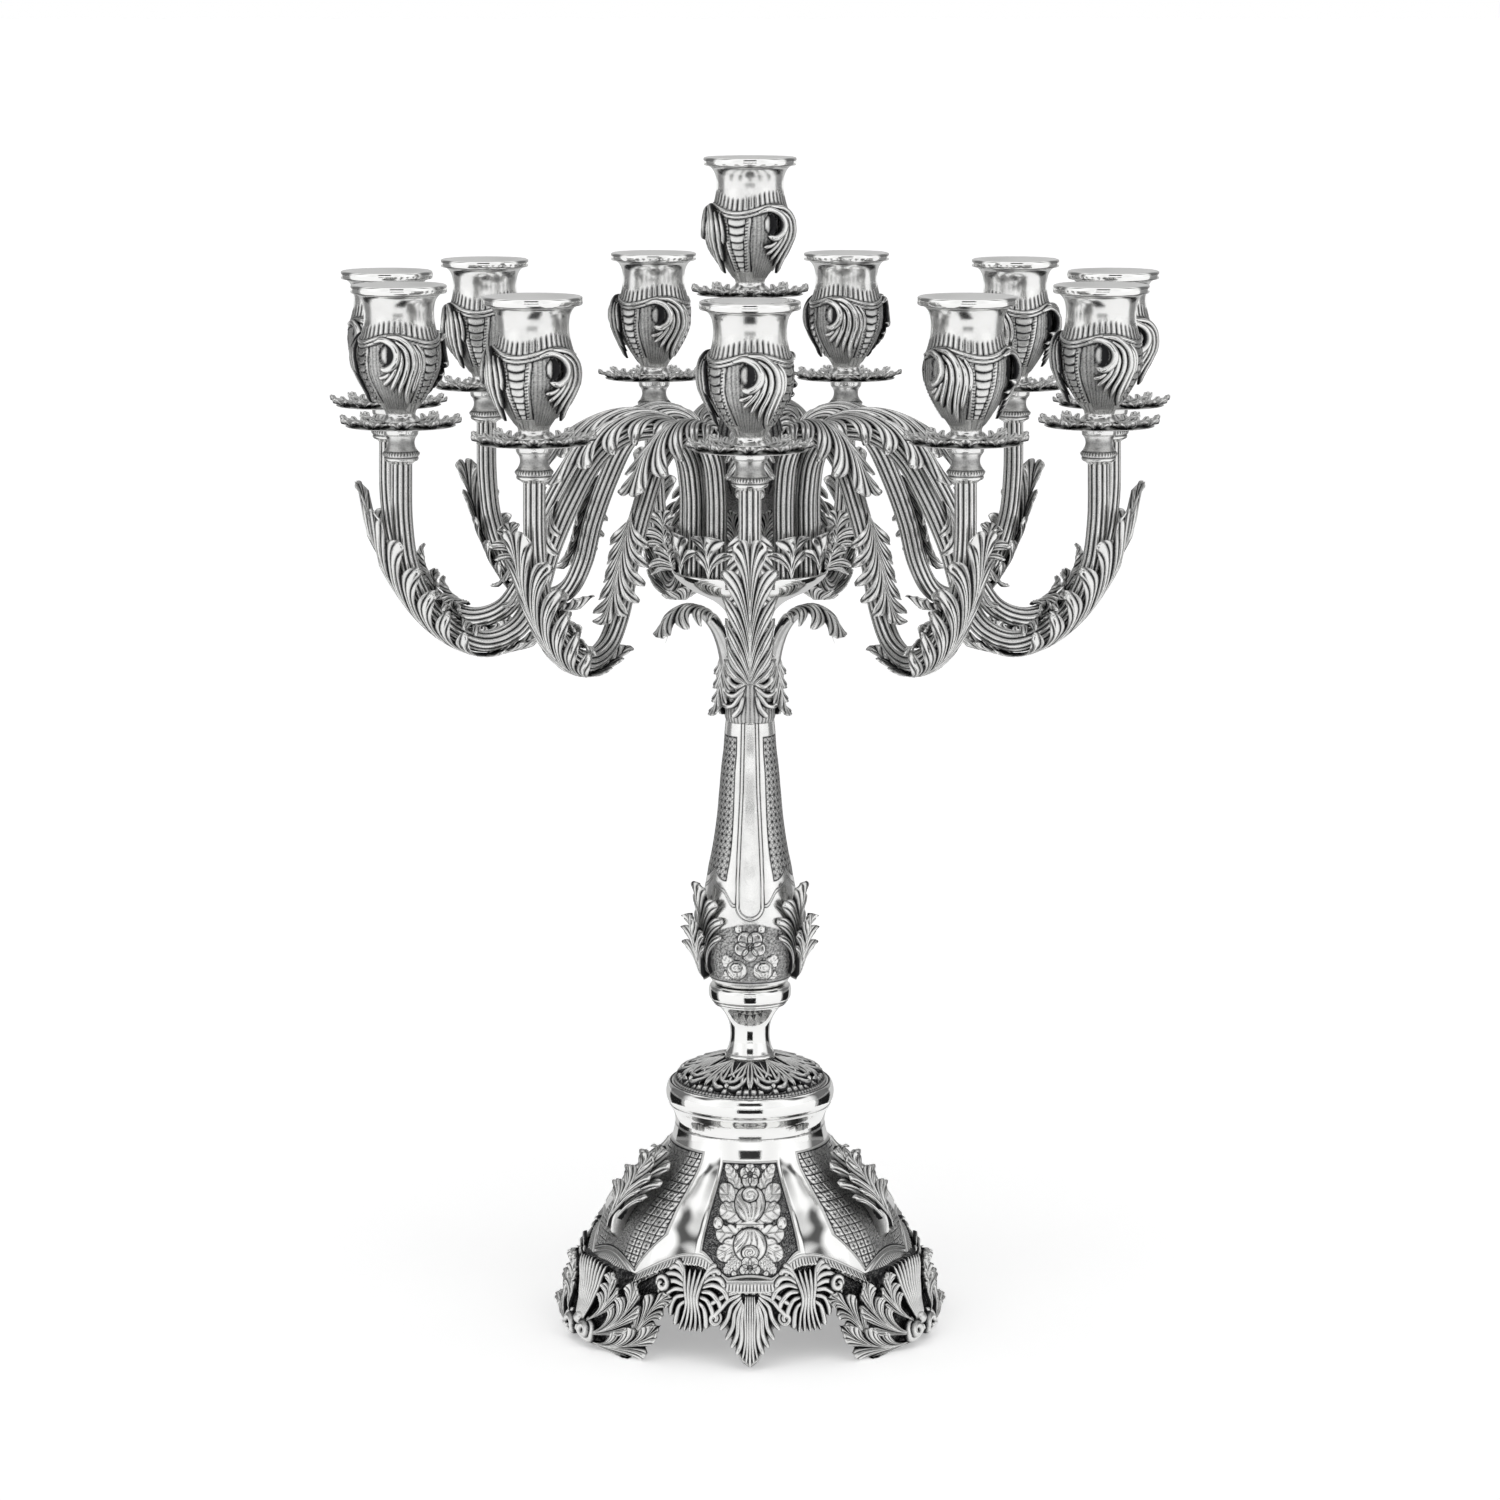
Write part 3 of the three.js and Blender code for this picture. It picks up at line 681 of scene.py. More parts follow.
def rose(x, y, cx, cy, wide, high, flip=1):
    """A rose seen from its side: a spiral heart in a bud whose petals overlap in curved creases."""
    dx, dy = (x - cx) / wide, (y - cy) / high * flip
    far = np.hypot(dx, dy)
    inside = smoothstep(1 - far, 0.0, 0.10)
    heart_far = np.hypot(dx * 0.95, (dy - 0.42) * 1.2) / 0.52
    swirl = wave(np.arctan2(dy - 0.42, dx) / (2 * np.pi) + 1.6 * heart_far, 0.6)
    crease = wave(1.5 * np.arctan2(dx, 1.25 + dy) * 2 + 0.5 * np.sin(2.2 * dy), 0.6)
    mix = smoothstep(heart_far, 0.92, 1.04)
    form = (1 - mix) * swirl + mix * crease
    height = inside * (1.5 * np.sqrt(np.clip(1.15 - far ** 2, 0, 2)) + 0.7 * form + 0.6 * (1 - mix))
    dark = inside * ((1 - form) ** 3.0 * 1.1 + 0.9 * bump(heart_far - 1.0, 0.08))
    return height, dark + bump(far - 1.03, 0.05) * 0.9


def frond(x, y, start, end, width, veins):
    """A small feathered leaf lying on a wall, from its stalk to its tip."""
    dx, dy = end[0] - start[0], end[1] - start[1]
    size = math.hypot(dx, dy)
    t = ((x - start[0]) * dx + (y - start[1]) * dy) / size ** 2
    s = ((x - start[0]) * dy - (y - start[1]) * dx) / size / width
    edge = np.clip(t * (1 - t) * 4, 0, 1) ** 0.4 * (0.78 + 0.22 * wave(t * veins, 0.5))
    on = (t > 0) * (t < 1)
    inside = smoothstep(edge - np.abs(s), 0.0, 0.12) * on
    rib = wave(t * veins - 1.1 * np.abs(s), 0.6)
    height = inside * (0.6 + 0.7 * rib * np.abs(s) + 0.7 * bump(s, 0.16))
    return height, inside * (1 - rib) ** 3.0 * 0.9 + bump(edge - np.abs(s), 0.08) * 0.8 * on


def over(ground, *motifs):
    """Puts motifs on a punched ground: the highest wins, and the ground stays dark round them."""
    height, dark = ground
    for rise, shade in motifs:
        covered = rise > 0.06
        height = np.where(covered, np.maximum(height, rise), height)
        dark = np.where(covered, shade, np.maximum(dark, shade))
    return height, dark


def volute(across, up, radius, turns, bar, surface, hand, begin=90, proud=0.0):
    """A scroll: a tapered bar that winds in on itself, rising towards its eye."""
    t = np.linspace(0, 1, int(26 * turns))
    a = math.radians(begin) + hand * t * turns * 2 * np.pi
    r = radius * (1 - t) ** 0.8 * 0.92 + 0.08 * radius
    line = np.stack([across + r * np.cos(a), up + r * np.sin(a), proud + 1.6 * t], axis=-1)
    return finger(line, bar, bar, surface, even=True)


# ---------------------------------------------------------------- the base
# The skirt's outline: height, then radius
SKIRT = curve_through([
    (111, 41.4), (105, 42.6), (99.5, 45), (93.5, 49.5), (88, 55.3), (82.5, 61.4), (76.5, 68.4), (71, 73.4),
    (65, 78.6), (57, 83), (48, 86.6), (41, 90), (35, 92),
], 1.0)[::-1]
# The skirt's wall, its radius halfway up, and half its two kinds of panel in degrees
SKIRT_WALL = 2.1
MID_RADIUS = 74
FLOWER_HALF = 19.3
LATTICE_HALF = 25
# The foot's front: height, then radius
FOOT_LINE = [(0, 101), (3, 104.5), (9, 106.5), (16, 105), (24, 100.5), (34, 97), (44, 95)]
# Lower edge of the apron: degrees from a drop's middle, then height
EDGE = [(0, 1), (2.5, 4), (5, 12), (8, 20), (12, 22), (15, 19), (24, 18.5), (27, 24), (31, 28.5), (36, 26),
        (41, 18), (44, 14), (60, 14)]


def hem_height(degrees):
    """Height of the skirt's wavy hem: low at the feet and the drops, and high between them."""
    foot = np.abs(fold(degrees + 60, 120))
    drop = 60 - foot
    by_foot = 36 + 6.5 * np.cos(np.clip(foot / 15, 0, 1) * np.pi / 2)
    rise = 36 + 16 * np.sin(np.clip((foot - 15) / 25, 0, 1) * np.pi / 2)
    front = 40 + 12 * np.sin(np.clip((drop - 8) / 12, 0, 1) * np.pi / 2)
    return np.where(foot < 15, by_foot, np.where(foot < 40, rise, front))


def flute_depth(degrees, height):
    """Depth of the hollow flutes that part the skirt's six panels."""
    off = np.abs(fold(degrees - 30, 60))
    fade = between(height, 44, 60, 92, 106)
    return 2.6 * fade * np.cos(np.clip(off / 9, 0, 1) * np.pi / 2)


def read_line(line, x):
    """The second value of a line of pairs, where the first is x."""
    return np.interp(x, *np.transpose(line))


def skirt_line(height):
    """The skirt's radius between its flutes."""
    return read_line(SKIRT, height)


def stand(degrees, height, proud):
    """Points that stand proud of the skirt, square to its slope."""
    slope = skirt_line(height + 0.5) - skirt_line(height - 0.5)
    size = np.hypot(slope, 1)
    radius = skirt_line(height) - flute_depth(degrees, height) + proud / size
    return around(np.radians(degrees), radius, height - proud * slope / size)


def skirt_body():
    degrees = np.arange(600) * 0.6
    rise = np.linspace(0, 1, 60)[:, None]
    low = hem_height(degrees)
    height = low + (SKIRT_TOP - low) * rise
    out = grid(stand(degrees, height, 0), 0.0, wrap=True)
    inner = np.linspace(1, 0, 14)[:, None]
    inside = low + (SKIRT_TOP - low) * inner
    back = grid(stand(degrees, inside, -SKIRT_WALL), 0.45, wrap=True)
    rims = []
    for row in (0, -1):
        top = stand(degrees, height[row], 0)
        under = stand(degrees, height[row], -SKIRT_WALL)
        rims.append(grid(np.stack([under, top] if row == 0 else [top, under]), 0.3, wrap=True))
    return merge([out, back] + rims)


def skirt_hem():
    """The ribbed band along the hem, with its scalloped edge and the bead above it."""
    columns, ribs = 1800, 300
    degrees = np.arange(columns) * 360 / columns
    v = np.linspace(-0.2, 6.2, 15)[:, None]
    rib = wave(degrees * ribs / 360, 0.7)
    scallop = 0.6 * wave(degrees * ribs / 720, 0.7) * (v < 0.1)
    height = hem_height(degrees) + v - scallop
    low = between(v, 0.2, 0.6, 3.4, 4.4)
    proud = 0.5 + 0.9 * bump(v - 0.3, 1.6) + 0.45 * low * rib + 0.25 * bump(v - 5.2, 0.6)
    proud = np.where((v < 0) | (v > 6), -0.4, proud)
    dark = 0.8 * low * (1 - rib) ** 1.5 + 0.35 * bump(v - 4.4, 0.4) + 0.5 * bump(v - 6.1, 0.3) + 0 * rib
    return grid(stand(degrees, height, proud), dark, wrap=True)


def panel(half, top, bottom, ornament, step):
    """A chased panel on the skirt's front. bottom gives its lower edge over -1 to 1, and ornament
    its relief and tarnish from the arc across, the height and the place across."""
    columns = int(2 * math.radians(half) * MID_RADIUS / step)
    u = np.linspace(-1, 1, columns)
    rows = int(1.3 * (top - 50) / step)
    rise = np.linspace(0, 1, rows)[:, None]
    low = bottom(u)
    height = low + (top - low) * rise
    degrees = half * u
    arc = math.radians(half) * u * skirt_line(height)
    proud, dark = ornament(arc, height, u)
    margin = (1 - np.abs(u)) * math.radians(half) * MID_RADIUS
    margin = np.minimum(margin, np.minimum(height - low, top - height))
    rim = bump(margin - 0.75, 0.42)
    proud = np.where(margin < 1.2, 0.15, proud) + 0.45 * rim
    dark = np.where(margin < 1.4, 0.15, dark) + 0.9 * bump(margin - 1.45, 0.28)
    front = stand(degrees, height, 0.35 + proud * smoothstep(margin, 0, 0.4))
    return sheet(front, stand(degrees, height, -0.8), dark)


def flower_bottom(u):
    off = np.abs(u) * FLOWER_HALF
    side = 46 + 12.7 * smoothstep((off - 7.6) / (FLOWER_HALF - 7.6), 0.0, 1.0) ** 0.8
    return np.where(off < 7.6, 46 + 1.6 * np.cos(off / 7.6 * np.pi / 2), side)


# Start, tip, width and veins of the leaves round the flowers, then place and radius of the balls
FLOWER_FRONDS = [
    ((4.2, 84), (12.9, 98.0), 3.4, 6), ((3, 76.5), (16.0, 88.4), 5.4, 3), ((3, 75.5), (16.6, 78.6), 4.6, 3),
    ((3, 67), (18.4, 68.0), 5.0, 3), ((3, 65), (17.6, 57.0), 5.4, 3), ((4, 58), (13.8, 49.6), 3.4, 6),
]
FLOWER_BALLS = [(7.4, 97.2, 1.5), (17.4, 72.6, 2.9), (8.6, 49.2, 1.5)]
BAR_HEIGHT = 72.2
BAR_HALF = 7.6


def mirrored(motif, arc, height, places):
    """The motif at each place and at its mirror image across the middle line."""
    return [motif(side * arc, height, *place) for place in places for side in (-1, 1)]


def flower_ornament(arc, height, u):
    """Two roses between leaves, with a flower at both ends and a short bar in the middle."""
    ground = 0.30 * chips(arc.shape, 5, 1.5)
    motifs = mirrored(frond, arc, height, FLOWER_FRONDS)
    motifs += [
        rose(arc, height, 0, 81.0, 8.0, 7.6), rose(arc, height, 0, 62.8, 8.6, 8.0, -1),
        blossom(arc, height, 0, 93.4, 5.2), blossom(arc, height, 0, 52.2, 5.2, turn=-90),
    ]
    motifs += mirrored(ball, arc, height, FLOWER_BALLS)
    off = height - BAR_HEIGHT
    bar = smoothstep(1.3 - np.abs(off - 0.6 * np.cos(arc / 2.6)), 0, 0.4) * (np.abs(arc) < BAR_HALF)
    motifs.append((0.9 * bar, (bump(np.abs(arc) - BAR_HALF, 0.3) + 0.6 * bump(off, 0.25)) * bar))
    return over((ground, 0.42 + 1.2 * (0.3 - ground)), *motifs)


# Side of a lattice square, and how much longer the skirt's slope is than its height
SQUARE = 5.6
SLOPE_STRETCH = 1.42


def lattice_bottom(u):
    off = np.abs(u) * LATTICE_HALF
    middle = 43.5 + 6.0 * np.cos(np.clip(off / 15, 0, 1) * np.pi / 2)
    side = 43.5 + 21 * np.clip((off - 15) / 10, 0, 1) ** 0.75
    return np.where(off < 15, middle, side)


def lattice_ornament(arc, height, u):
    """Squares with a four-pointed star punched in each, fading to a plain punched ground."""
    along = height * SLOPE_STRETCH
    lines = np.maximum(bump(fold(arc, SQUARE), 0.36), bump(fold(along, SQUARE), 0.36))
    x, y = fold(arc + SQUARE / 2, SQUARE), fold(along + SQUARE / 2, SQUARE)
    star = np.maximum(bump(x, 0.34) * bump(y, 1.5), bump(y, 0.34) * bump(x, 1.5))
    worn = smoothstep(np.abs(u) + 0.004 * (75 - height), 0.3, 0.5)
    rough = chips(arc.shape, 6, 1.5)
    height_out = worn * (0.5 - 0.6 * lines - 0.5 * star) + (1 - worn) * 0.35 * rough
    dark = worn * (1.1 * lines + 1.1 * star) + (1 - worn) * (0.62 - 0.4 * rough)
    return height_out, dark


def skirt_leaf():
    """The acanthus leaf that stands out from a lattice panel, from its rounded heel up."""
    heights = np.array([57, 62, 70, 80, 90, 98, 103])
    proud = np.array([4.2, 5.2, 6.0, 6.0, 5.8, 5.4, 8.0])
    path = Path(stand(0, heights, proud), 1.0, (1, 0, 0))
    broad = leaf_shape(64, 22, 4, 3, 0.6, 0.3, 0.24, 0.8)
    slim = leaf_shape(48, 12, 3, 3, 0.55, 0.4, 0.24)
    main = lay_leaf(broad, path, 0.2, 44, 2.2, edge_lift=2.2, curl=2.0, sunk=44, thick=1.5, keel=6.8)
    over_leaf = lay_leaf(slim, path, 2.0, 22, 2.0, lift=2.8, curl=1.5, edge_lift=1.5, sunk=22, thick=1.5,
                         keel=3.0)
    heel = finger([(0, 55.5, 1.0), (0, 58, 4.0), (0, 63, 6.4), (0, 70, 7.6), (0, 80, 8.0)], 2.7, 3.0,
                  lambda arc, height, proud: stand(np.degrees(arc / 80), height, proud), 6.0)
    return merge([main, over_leaf, shaded(heel, 0.25)])


def apron_radius(height):
    lining = skirt_line(np.maximum(height, 36)) - 3.6
    return lining + 11 * smoothstep(30 - height, 0, 30)


def apron_wall(height):
    return np.minimum(apron_radius(height), 101.5)


def foot_wall(height):
    return read_line(FOOT_LINE, height)


def apron_body():
    degrees = np.arange(960) * 0.375
    off = np.abs(fold(degrees, 120))
    low = read_line(EDGE, off)
    high = hem_height(degrees) + 3.5
    rise = np.linspace(0, 1, 44)[:, None]
    height = low + (high - low) * rise
    edge = height - low
    lip = np.sqrt(np.clip(1 - ((edge - 1.5) / 1.6) ** 2, 0, 1))
    smooth = between(off, 24.5, 26.5, 40, 43)
    rough = chips(height.shape, 8, 1.3)
    proud = 1.9 * lip * smooth + (1 - smooth) * 0.6 * lip + 0.35 * rough * (edge > 3)
    dark = np.where(edge > 3, 0.85 - 0.35 * rough, 0.15 + 0.5 * (1 - lip))

    def face(inset):
        radius = apron_radius(height) - flute_depth(degrees, height) + (proud if inset == 0 else -inset)
        return around(np.radians(degrees), radius, height)
    front, back = face(0), face(2.4)
    out = grid(front, dark, wrap=True)
    inside = grid(back[::-1], 0.6, wrap=True)
    under = grid(np.stack([back[0], front[0]]), 0.2, wrap=True)
    above = grid(np.stack([front[-1], back[-1]]), 0.6, wrap=True)
    return merge([out, inside, under, above])


def both_sides(lines):
    """Each line and its mirror image across the middle."""
    return [[(side * arc, height, proud) for arc, height, proud in line]
            for line in lines for side in (-1, 1)]


def apron_shell():
    """A shell on the apron: fluted trumpet, ribs arching to both sides and a fan on top."""
    surface = wall_surface(apron_wall, 90)
    ribs = [[(1.2 * x, 18.4, 3.0), (0.9 * x, 26, 2.6), (0.6 * x, 34, 3.2), (0.85 * x, 42, 4.2),
             (1.35 * x, 50.0, 3.4)] for x in (-5.0, -2.5, 0, 2.5, 5.0)]
    arches = [
        [(3.2, 34, 2.4), (6.6, 31.4, 3.4), (8.2, 25.4, 3.4), (8.6, 20.2, 2.8)],
        [(3.4, 37, 2.6), (8.6, 35.6, 3.8), (11.4, 30.2, 3.8), (12.2, 24.4, 2.8)],
        [(3.6, 39.4, 2.6), (10.4, 39.6, 4.0), (14.8, 35.4, 4.0), (16.2, 29.6, 3.0)],
        [(3.8, 41.2, 2.6), (11.4, 43.6, 4.0), (17.4, 41.2, 4.2), (20.0, 35.8, 3.6)],
        [(4.2, 43.0, 2.6), (10.2, 46.8, 3.6), (15.2, 46.6, 4.6), (18.0, 43.0, 5.0)],
        [(4.8, 44.6, 2.6), (9.0, 49.6, 3.4), (12.8, 50.8, 4.2), (15.4, 48.8, 4.8)],
        [(5.4, 46.0, 2.6), (8.2, 51.0, 3.2), (10.8, 53.2, 3.8), (12.8, 52.8, 4.2)],
    ]
    made = [finger(line, 1.15, 1.8, surface, 2.0) for line in ribs]
    return made + [finger(line, 1.6, 2.2, surface, 2.0) for line in both_sides(arches)]


def apron_drop():
    """A hanging palmette of long ribs that part to both sides, with a scroll at each shoulder."""
    surface = wall_surface(apron_wall, 100)
    ribs = [[(0.7 * x, 38, 2.0), (0.8 * x, 28, 3.2), (0.7 * x, 16, 3.8), (1.1 * x, 1.6 + 1.3 * abs(x), 3.4)]
            for x in (-3.6, -1.8, 0, 1.8, 3.6)]
    fronds = [
        [(3.8, 34, 2.2), (4.8, 25, 3.2), (4.8, 16, 3.8), (7.2, 8.8, 4.4)],
        [(4.4, 35.0, 2.2), (6.8, 27, 3.4), (7.2, 18.8, 3.8), (10.2, 12.0, 4.6)],
        [(4.8, 36.4, 2.2), (8.8, 29.6, 3.4), (9.8, 22.4, 3.8), (13.4, 15.8, 4.8)],
        [(5.2, 37.8, 2.2), (10.8, 33.0, 3.4), (12.8, 26.6, 3.8), (17.0, 20.4, 4.8)],
        [(5.6, 39.0, 2.2), (12.8, 36.0, 3.2), (16.8, 31.6, 3.6), (21.6, 26.8, 4.2)],
        [(6.0, 40.4, 2.0), (14.0, 38.8, 2.8), (19.6, 35.8, 3.2), (24.6, 32.6, 3.4)],
    ]
    made = [finger(line, 0.9, 1.6, surface, 2.0) for line in ribs]
    made += [finger(line, 1.6, 2.2, surface, 2.0) for line in both_sides(fronds)]
    for side in (-1, 1):
        made.append(volute(side * 20.4, 26.0, 3.8, 1.5, 1.5, surface, side, proud=3.4))
    return made


def foot_body():
    columns = 61
    line = curve_through(FOOT_LINE, 1.2)
    side = np.linspace(-1, 1, columns)[None, :]
    inner = np.interp(line[:, 0], [0, 5, 10, 16, 24, 34, 44], [95, 94, 93.4, 93, 92.3, 91.6, 91.6])
    rough = chips((len(line), columns), 9, 1.3)

    def face(radius, proud):
        r = 92 + (radius[:, None] - 92) * (1 - 0.3 * side ** 2) + proud
        return around(np.radians(16 * side), r, line[:, :1])
    front = face(line[:, 1], 0.4 * rough - 1.0)
    return sheet(front, face(inner, 0.0), 0.8 - 0.3 * rough)


def foot_surface(arc, height, proud):
    """The foot's front: it bulges in the middle and falls back to the apron at both sides."""
    bulge = 1 - 0.5 * np.clip(np.abs(arc) / 55, 0, 1) ** 2
    radius = 92 + (foot_wall(height) - 92) * bulge + proud
    return around(arc / 103, radius, height)


def foot_ornament():
    """Fan shell over two scrolls, with leaves that sweep up and out to both sides."""
    fan = [[(0.25 * x, 14, 1.2), (0.5 * x, 23, 2.4), (0.85 * x, 35, 3.6),
            (1.15 * x, 47.5 - 0.14 * abs(x), 4.4)]
           for x in (-12.6, -9.4, -6.3, -3.1, 0, 3.1, 6.3, 9.4, 12.6)]
    made = [finger(line, 1.35, 2.2, foot_surface, 2.2) for line in fan]
    # length, width, lobes and flutes of each leaf, its line, its lift and its curl
    leaves = [
        (50, 12, 3, 4, [(6, 4), (20, 3.4), (34, 6), (46, 12), (53, 19)], 1.2, -4.5),
        (44, 11, 3, 4, [(8, 9), (20, 12), (30, 19), (36, 29), (38, 42)], 2.4, -0.5),
        (36, 9, 3, 3, [(9, 15), (17, 22), (21.6, 32), (22.6, 45)], 2.8, 1.8),
        (40, 10, 3, 3, [(30, 7), (40, 14), (46, 25), (54, 33), (60, 35)], -1.6, -1.4),
    ]
    for side in (-1, 1):
        for *size, line, lift, curl in leaves:
            shape = leaf_shape(*size, cut=0.5, first=0.42, tip=0.2)
            across = [(side * x, z) for x, z in line]
            made.append(wall_leaf(shape, across, foot_surface, 1.7, lift, curl, edge_lift=1.0, thick=2.2))
        made.append(volute(side * 8.4, 9.8, 6.6, 1.6, 2.5, foot_surface, -side, proud=2.6))
        begin = 90 + 110 * side
        made.append(volute(side * 53.0, 42.0, 4.6, 1.3, 2.0, foot_surface, -side, begin, proud=-2.0))
    made.append(round_bead((0, -foot_wall(14.5) - 2.4, 14.5), 3.4))
    made += [round_bead((x, -foot_wall(z) - 1.4, z), 2.2) for x, z in ((-3.2, 8.6), (3.2, 8.6))]
    return made


def round_bead(place, radius, columns=20):
    t = np.linspace(-np.pi / 2, np.pi / 2, columns // 2)[:, None]
    a = (np.arange(columns) * 2 * np.pi / columns)[None, :]
    return grid(around(a, np.cos(t), np.sin(t)) * radius + np.array(place, float), 0.05, wrap=True)


def add_base():
    piece("show_skirt", mesh_of("skirt", skirt_body()), polished, ["base_skirt"])
    piece("show_skirt_hem", mesh_of("skirt_hem", skirt_hem()), chased)
    flower = mesh_of("flower_panel", panel(FLOWER_HALF, 100, flower_bottom, flower_ornament, 0.39))
    lattice = mesh_of("lattice_panel", panel(LATTICE_HALF, 103, lattice_bottom, lattice_ornament, 0.43))
    leaf = mesh_of("skirt_leaf", skirt_leaf())
    foot = mesh_of("foot", merge([foot_body()] + foot_ornament()))
    for i, turn in enumerate(THIRDS):
        piece(f"show_flower_panel_{i + 1}", flower, chased, turn=turn)
    for i, turn in enumerate(FEET):
        piece(f"show_lattice_panel_{i + 1}", lattice, chased, turn=turn)
        piece(f"show_skirt_leaf_{i + 1}", leaf, chased, turn=turn)
        piece(f"show_foot_{i + 1}", foot, cast, [f"foot_{i + 1}"], turn)
    piece("show_apron", mesh_of("apron", apron_body()), cast, ["base_apron"])
    shell = mesh_of("apron_shell", merge(apron_shell()))
    drop = mesh_of("apron_drop", merge(apron_drop()))
    for i, turn in enumerate(THIRDS):
        piece(f"show_drop_{i + 1}", drop, cast, turn=turn)
        for k, side in enumerate((-20, 20)):
            piece(f"show_shell_{2 * i + k + 1}", shell, cast, turn=turn + side)


# ---------------------------------------------------------------- dome, neck and stem
def dome_patch():
    outline = profile([
        [(41.4, 111.3), (41.6, 114), (42.6, 118), (44.6, 121.6)],
        [(45.0, 122.4), (44.9, 123.0)],
        [(46.0, 125), (46.5, 128.2), (46.2, 131), (45.4, 133.2), (44.6, 134.2), (43.6, 134.4)],
        [(42.8, 133.9), (42.2, 134.6)],
        [(38, 138.0), (33, 140.4), (28, 142.4), (19, 145.6), (13.6, 147.7)],
        [(4.6, 147.7)],
    ], 0.6)

    def relief(angle, radius, height):
        chased_top = (height > 134.3) & (radius > 14)
        bead = wave(angle / 360 * 120, 0.8)
        rim = bump(radius - 41.6, 0.5) * chased_top
        squares = smoothstep(wave(angle / 360 * 60, 1.0), 0.35, 0.6) * chased_top
        squares = bump(radius - 39.0, 1.1) * squares
        rough = chips(radius.shape, 11, 1.3) * chased_top
        proud = 0.8 * rim * bead + 0.9 * squares + 0.25 * rough
        dark = chased_top * (0.92 - 0.3 * rough) * (1 - rim * bead) * (1 - squares)
        return proud, dark + 0.25 * bump(height - 123.0, 0.3) * (radius > 43)
    return turned(outline, 480, relief)


def dome_surface(centre):
    """The top of the dome for fingers: up is towards the neck, from minus the radius."""
    def place(arc, up, proud):
        height = np.interp(-up, [13.6, 19, 28, 33, 38, 42.2], [147.7, 145.6, 142.4, 140.4, 138.0, 134.6])
        return around(arc / 30 + math.radians(centre), -up, height + proud)
    return place


def dome_sprays():
    """Chased sprays on the dome: ribs that splay from the neck out to hooked tips, with stamens
    between them that end in beads."""
    sprays = [
        [(0.8, -14, 0.3), (1.2, -21, 0.8), (1.2, -29, 1.0), (0.4, -38, 1.4)],
        [(1.8, -14.5, 0.3), (3.2, -22, 0.9), (4.0, -30, 1.1), (3.6, -38, 1.6)],
        [(2.8, -15, 0.3), (5.2, -21.6, 0.9), (6.8, -28.6, 1.2), (7.4, -35.6, 1.6)],
        [(3.8, -16.5, 0.3), (7.0, -21.8, 0.9), (9.6, -26.8, 1.2), (12.4, -30.4, 1.6)],
        [(2.6, -25, 1.4), (5.0, -31.6, 2.0), (8.8, -35.8, 2.2), (11.8, -35.0, 2.4)],
        [(1.8, -30, 1.4), (3.4, -35.8, 2.0), (6.6, -39.4, 2.2), (9.4, -39.2, 2.4)],
    ]
    made = []
    for k in range(9):
        surface = dome_surface(k * 40)
        made += [finger(line, 1.05, 1.3, surface, 1.6) for line in both_sides(sprays)]
        surface = dome_surface(k * 40 + 20)
        made.append(finger([(0, -15, 0.3), (0, -26, 0.6), (0, -36, 0.9)], 0.7, 0.9, surface, 1.4))
        made.append(turn_patch(round_bead((0, -37.4, 140.0), 1.5, 12), k * 40 + 20))
    return made


def neck_patch():
    outline = profile([
        [(4.6, 148), (13.6, 148)],
        [(14.0, 149.0), (13.4, 150.4)],
        [(12.2, 153), (11.2, 157), (10.9, 161), (11.2, 165), (12.2, 169), (14.2, 173), (17.0, 176.4),
         (19.2, 178.0)],
        [(20.2, 178.6), (20.0, 179.4)],
        [(21.2, 180.0), (21.0, 181.0)],
        [(22.2, 181.8), (22.6, 183.0), (22.7, 186.6), (22.3, 188.4), (21.4, 189.3), (20.2, 189.7)],
        [(4.6, 189.7)],
    ], 0.5)

    def relief(angle, radius, height):
        lines = bump(height - 179.4, 0.22) + bump(height - 181.0, 0.22) + 0.7 * bump(height - 150.4, 0.4)
        return 0 * radius, 0.7 * lines
    return turned(outline, 160, relief)


def tongue_inset(arc, height):
    """How far a point lies inside the raised tongue of the stem, whose lower end is round."""
    wide = np.interp(height, [232, 240, 262, 300, 337], [7.4, 7.6, 7.0, 5.2, 4.4])
    return wide - np.hypot(arc, np.clip(238 - height, 0, 20))


STEM_CELL = 3.6
BULB_FRONDS = [((6.4, 200), (15.4, 210), 4.2, 5), ((7, 200), (15.5, 198.4), 3.4, 5)]


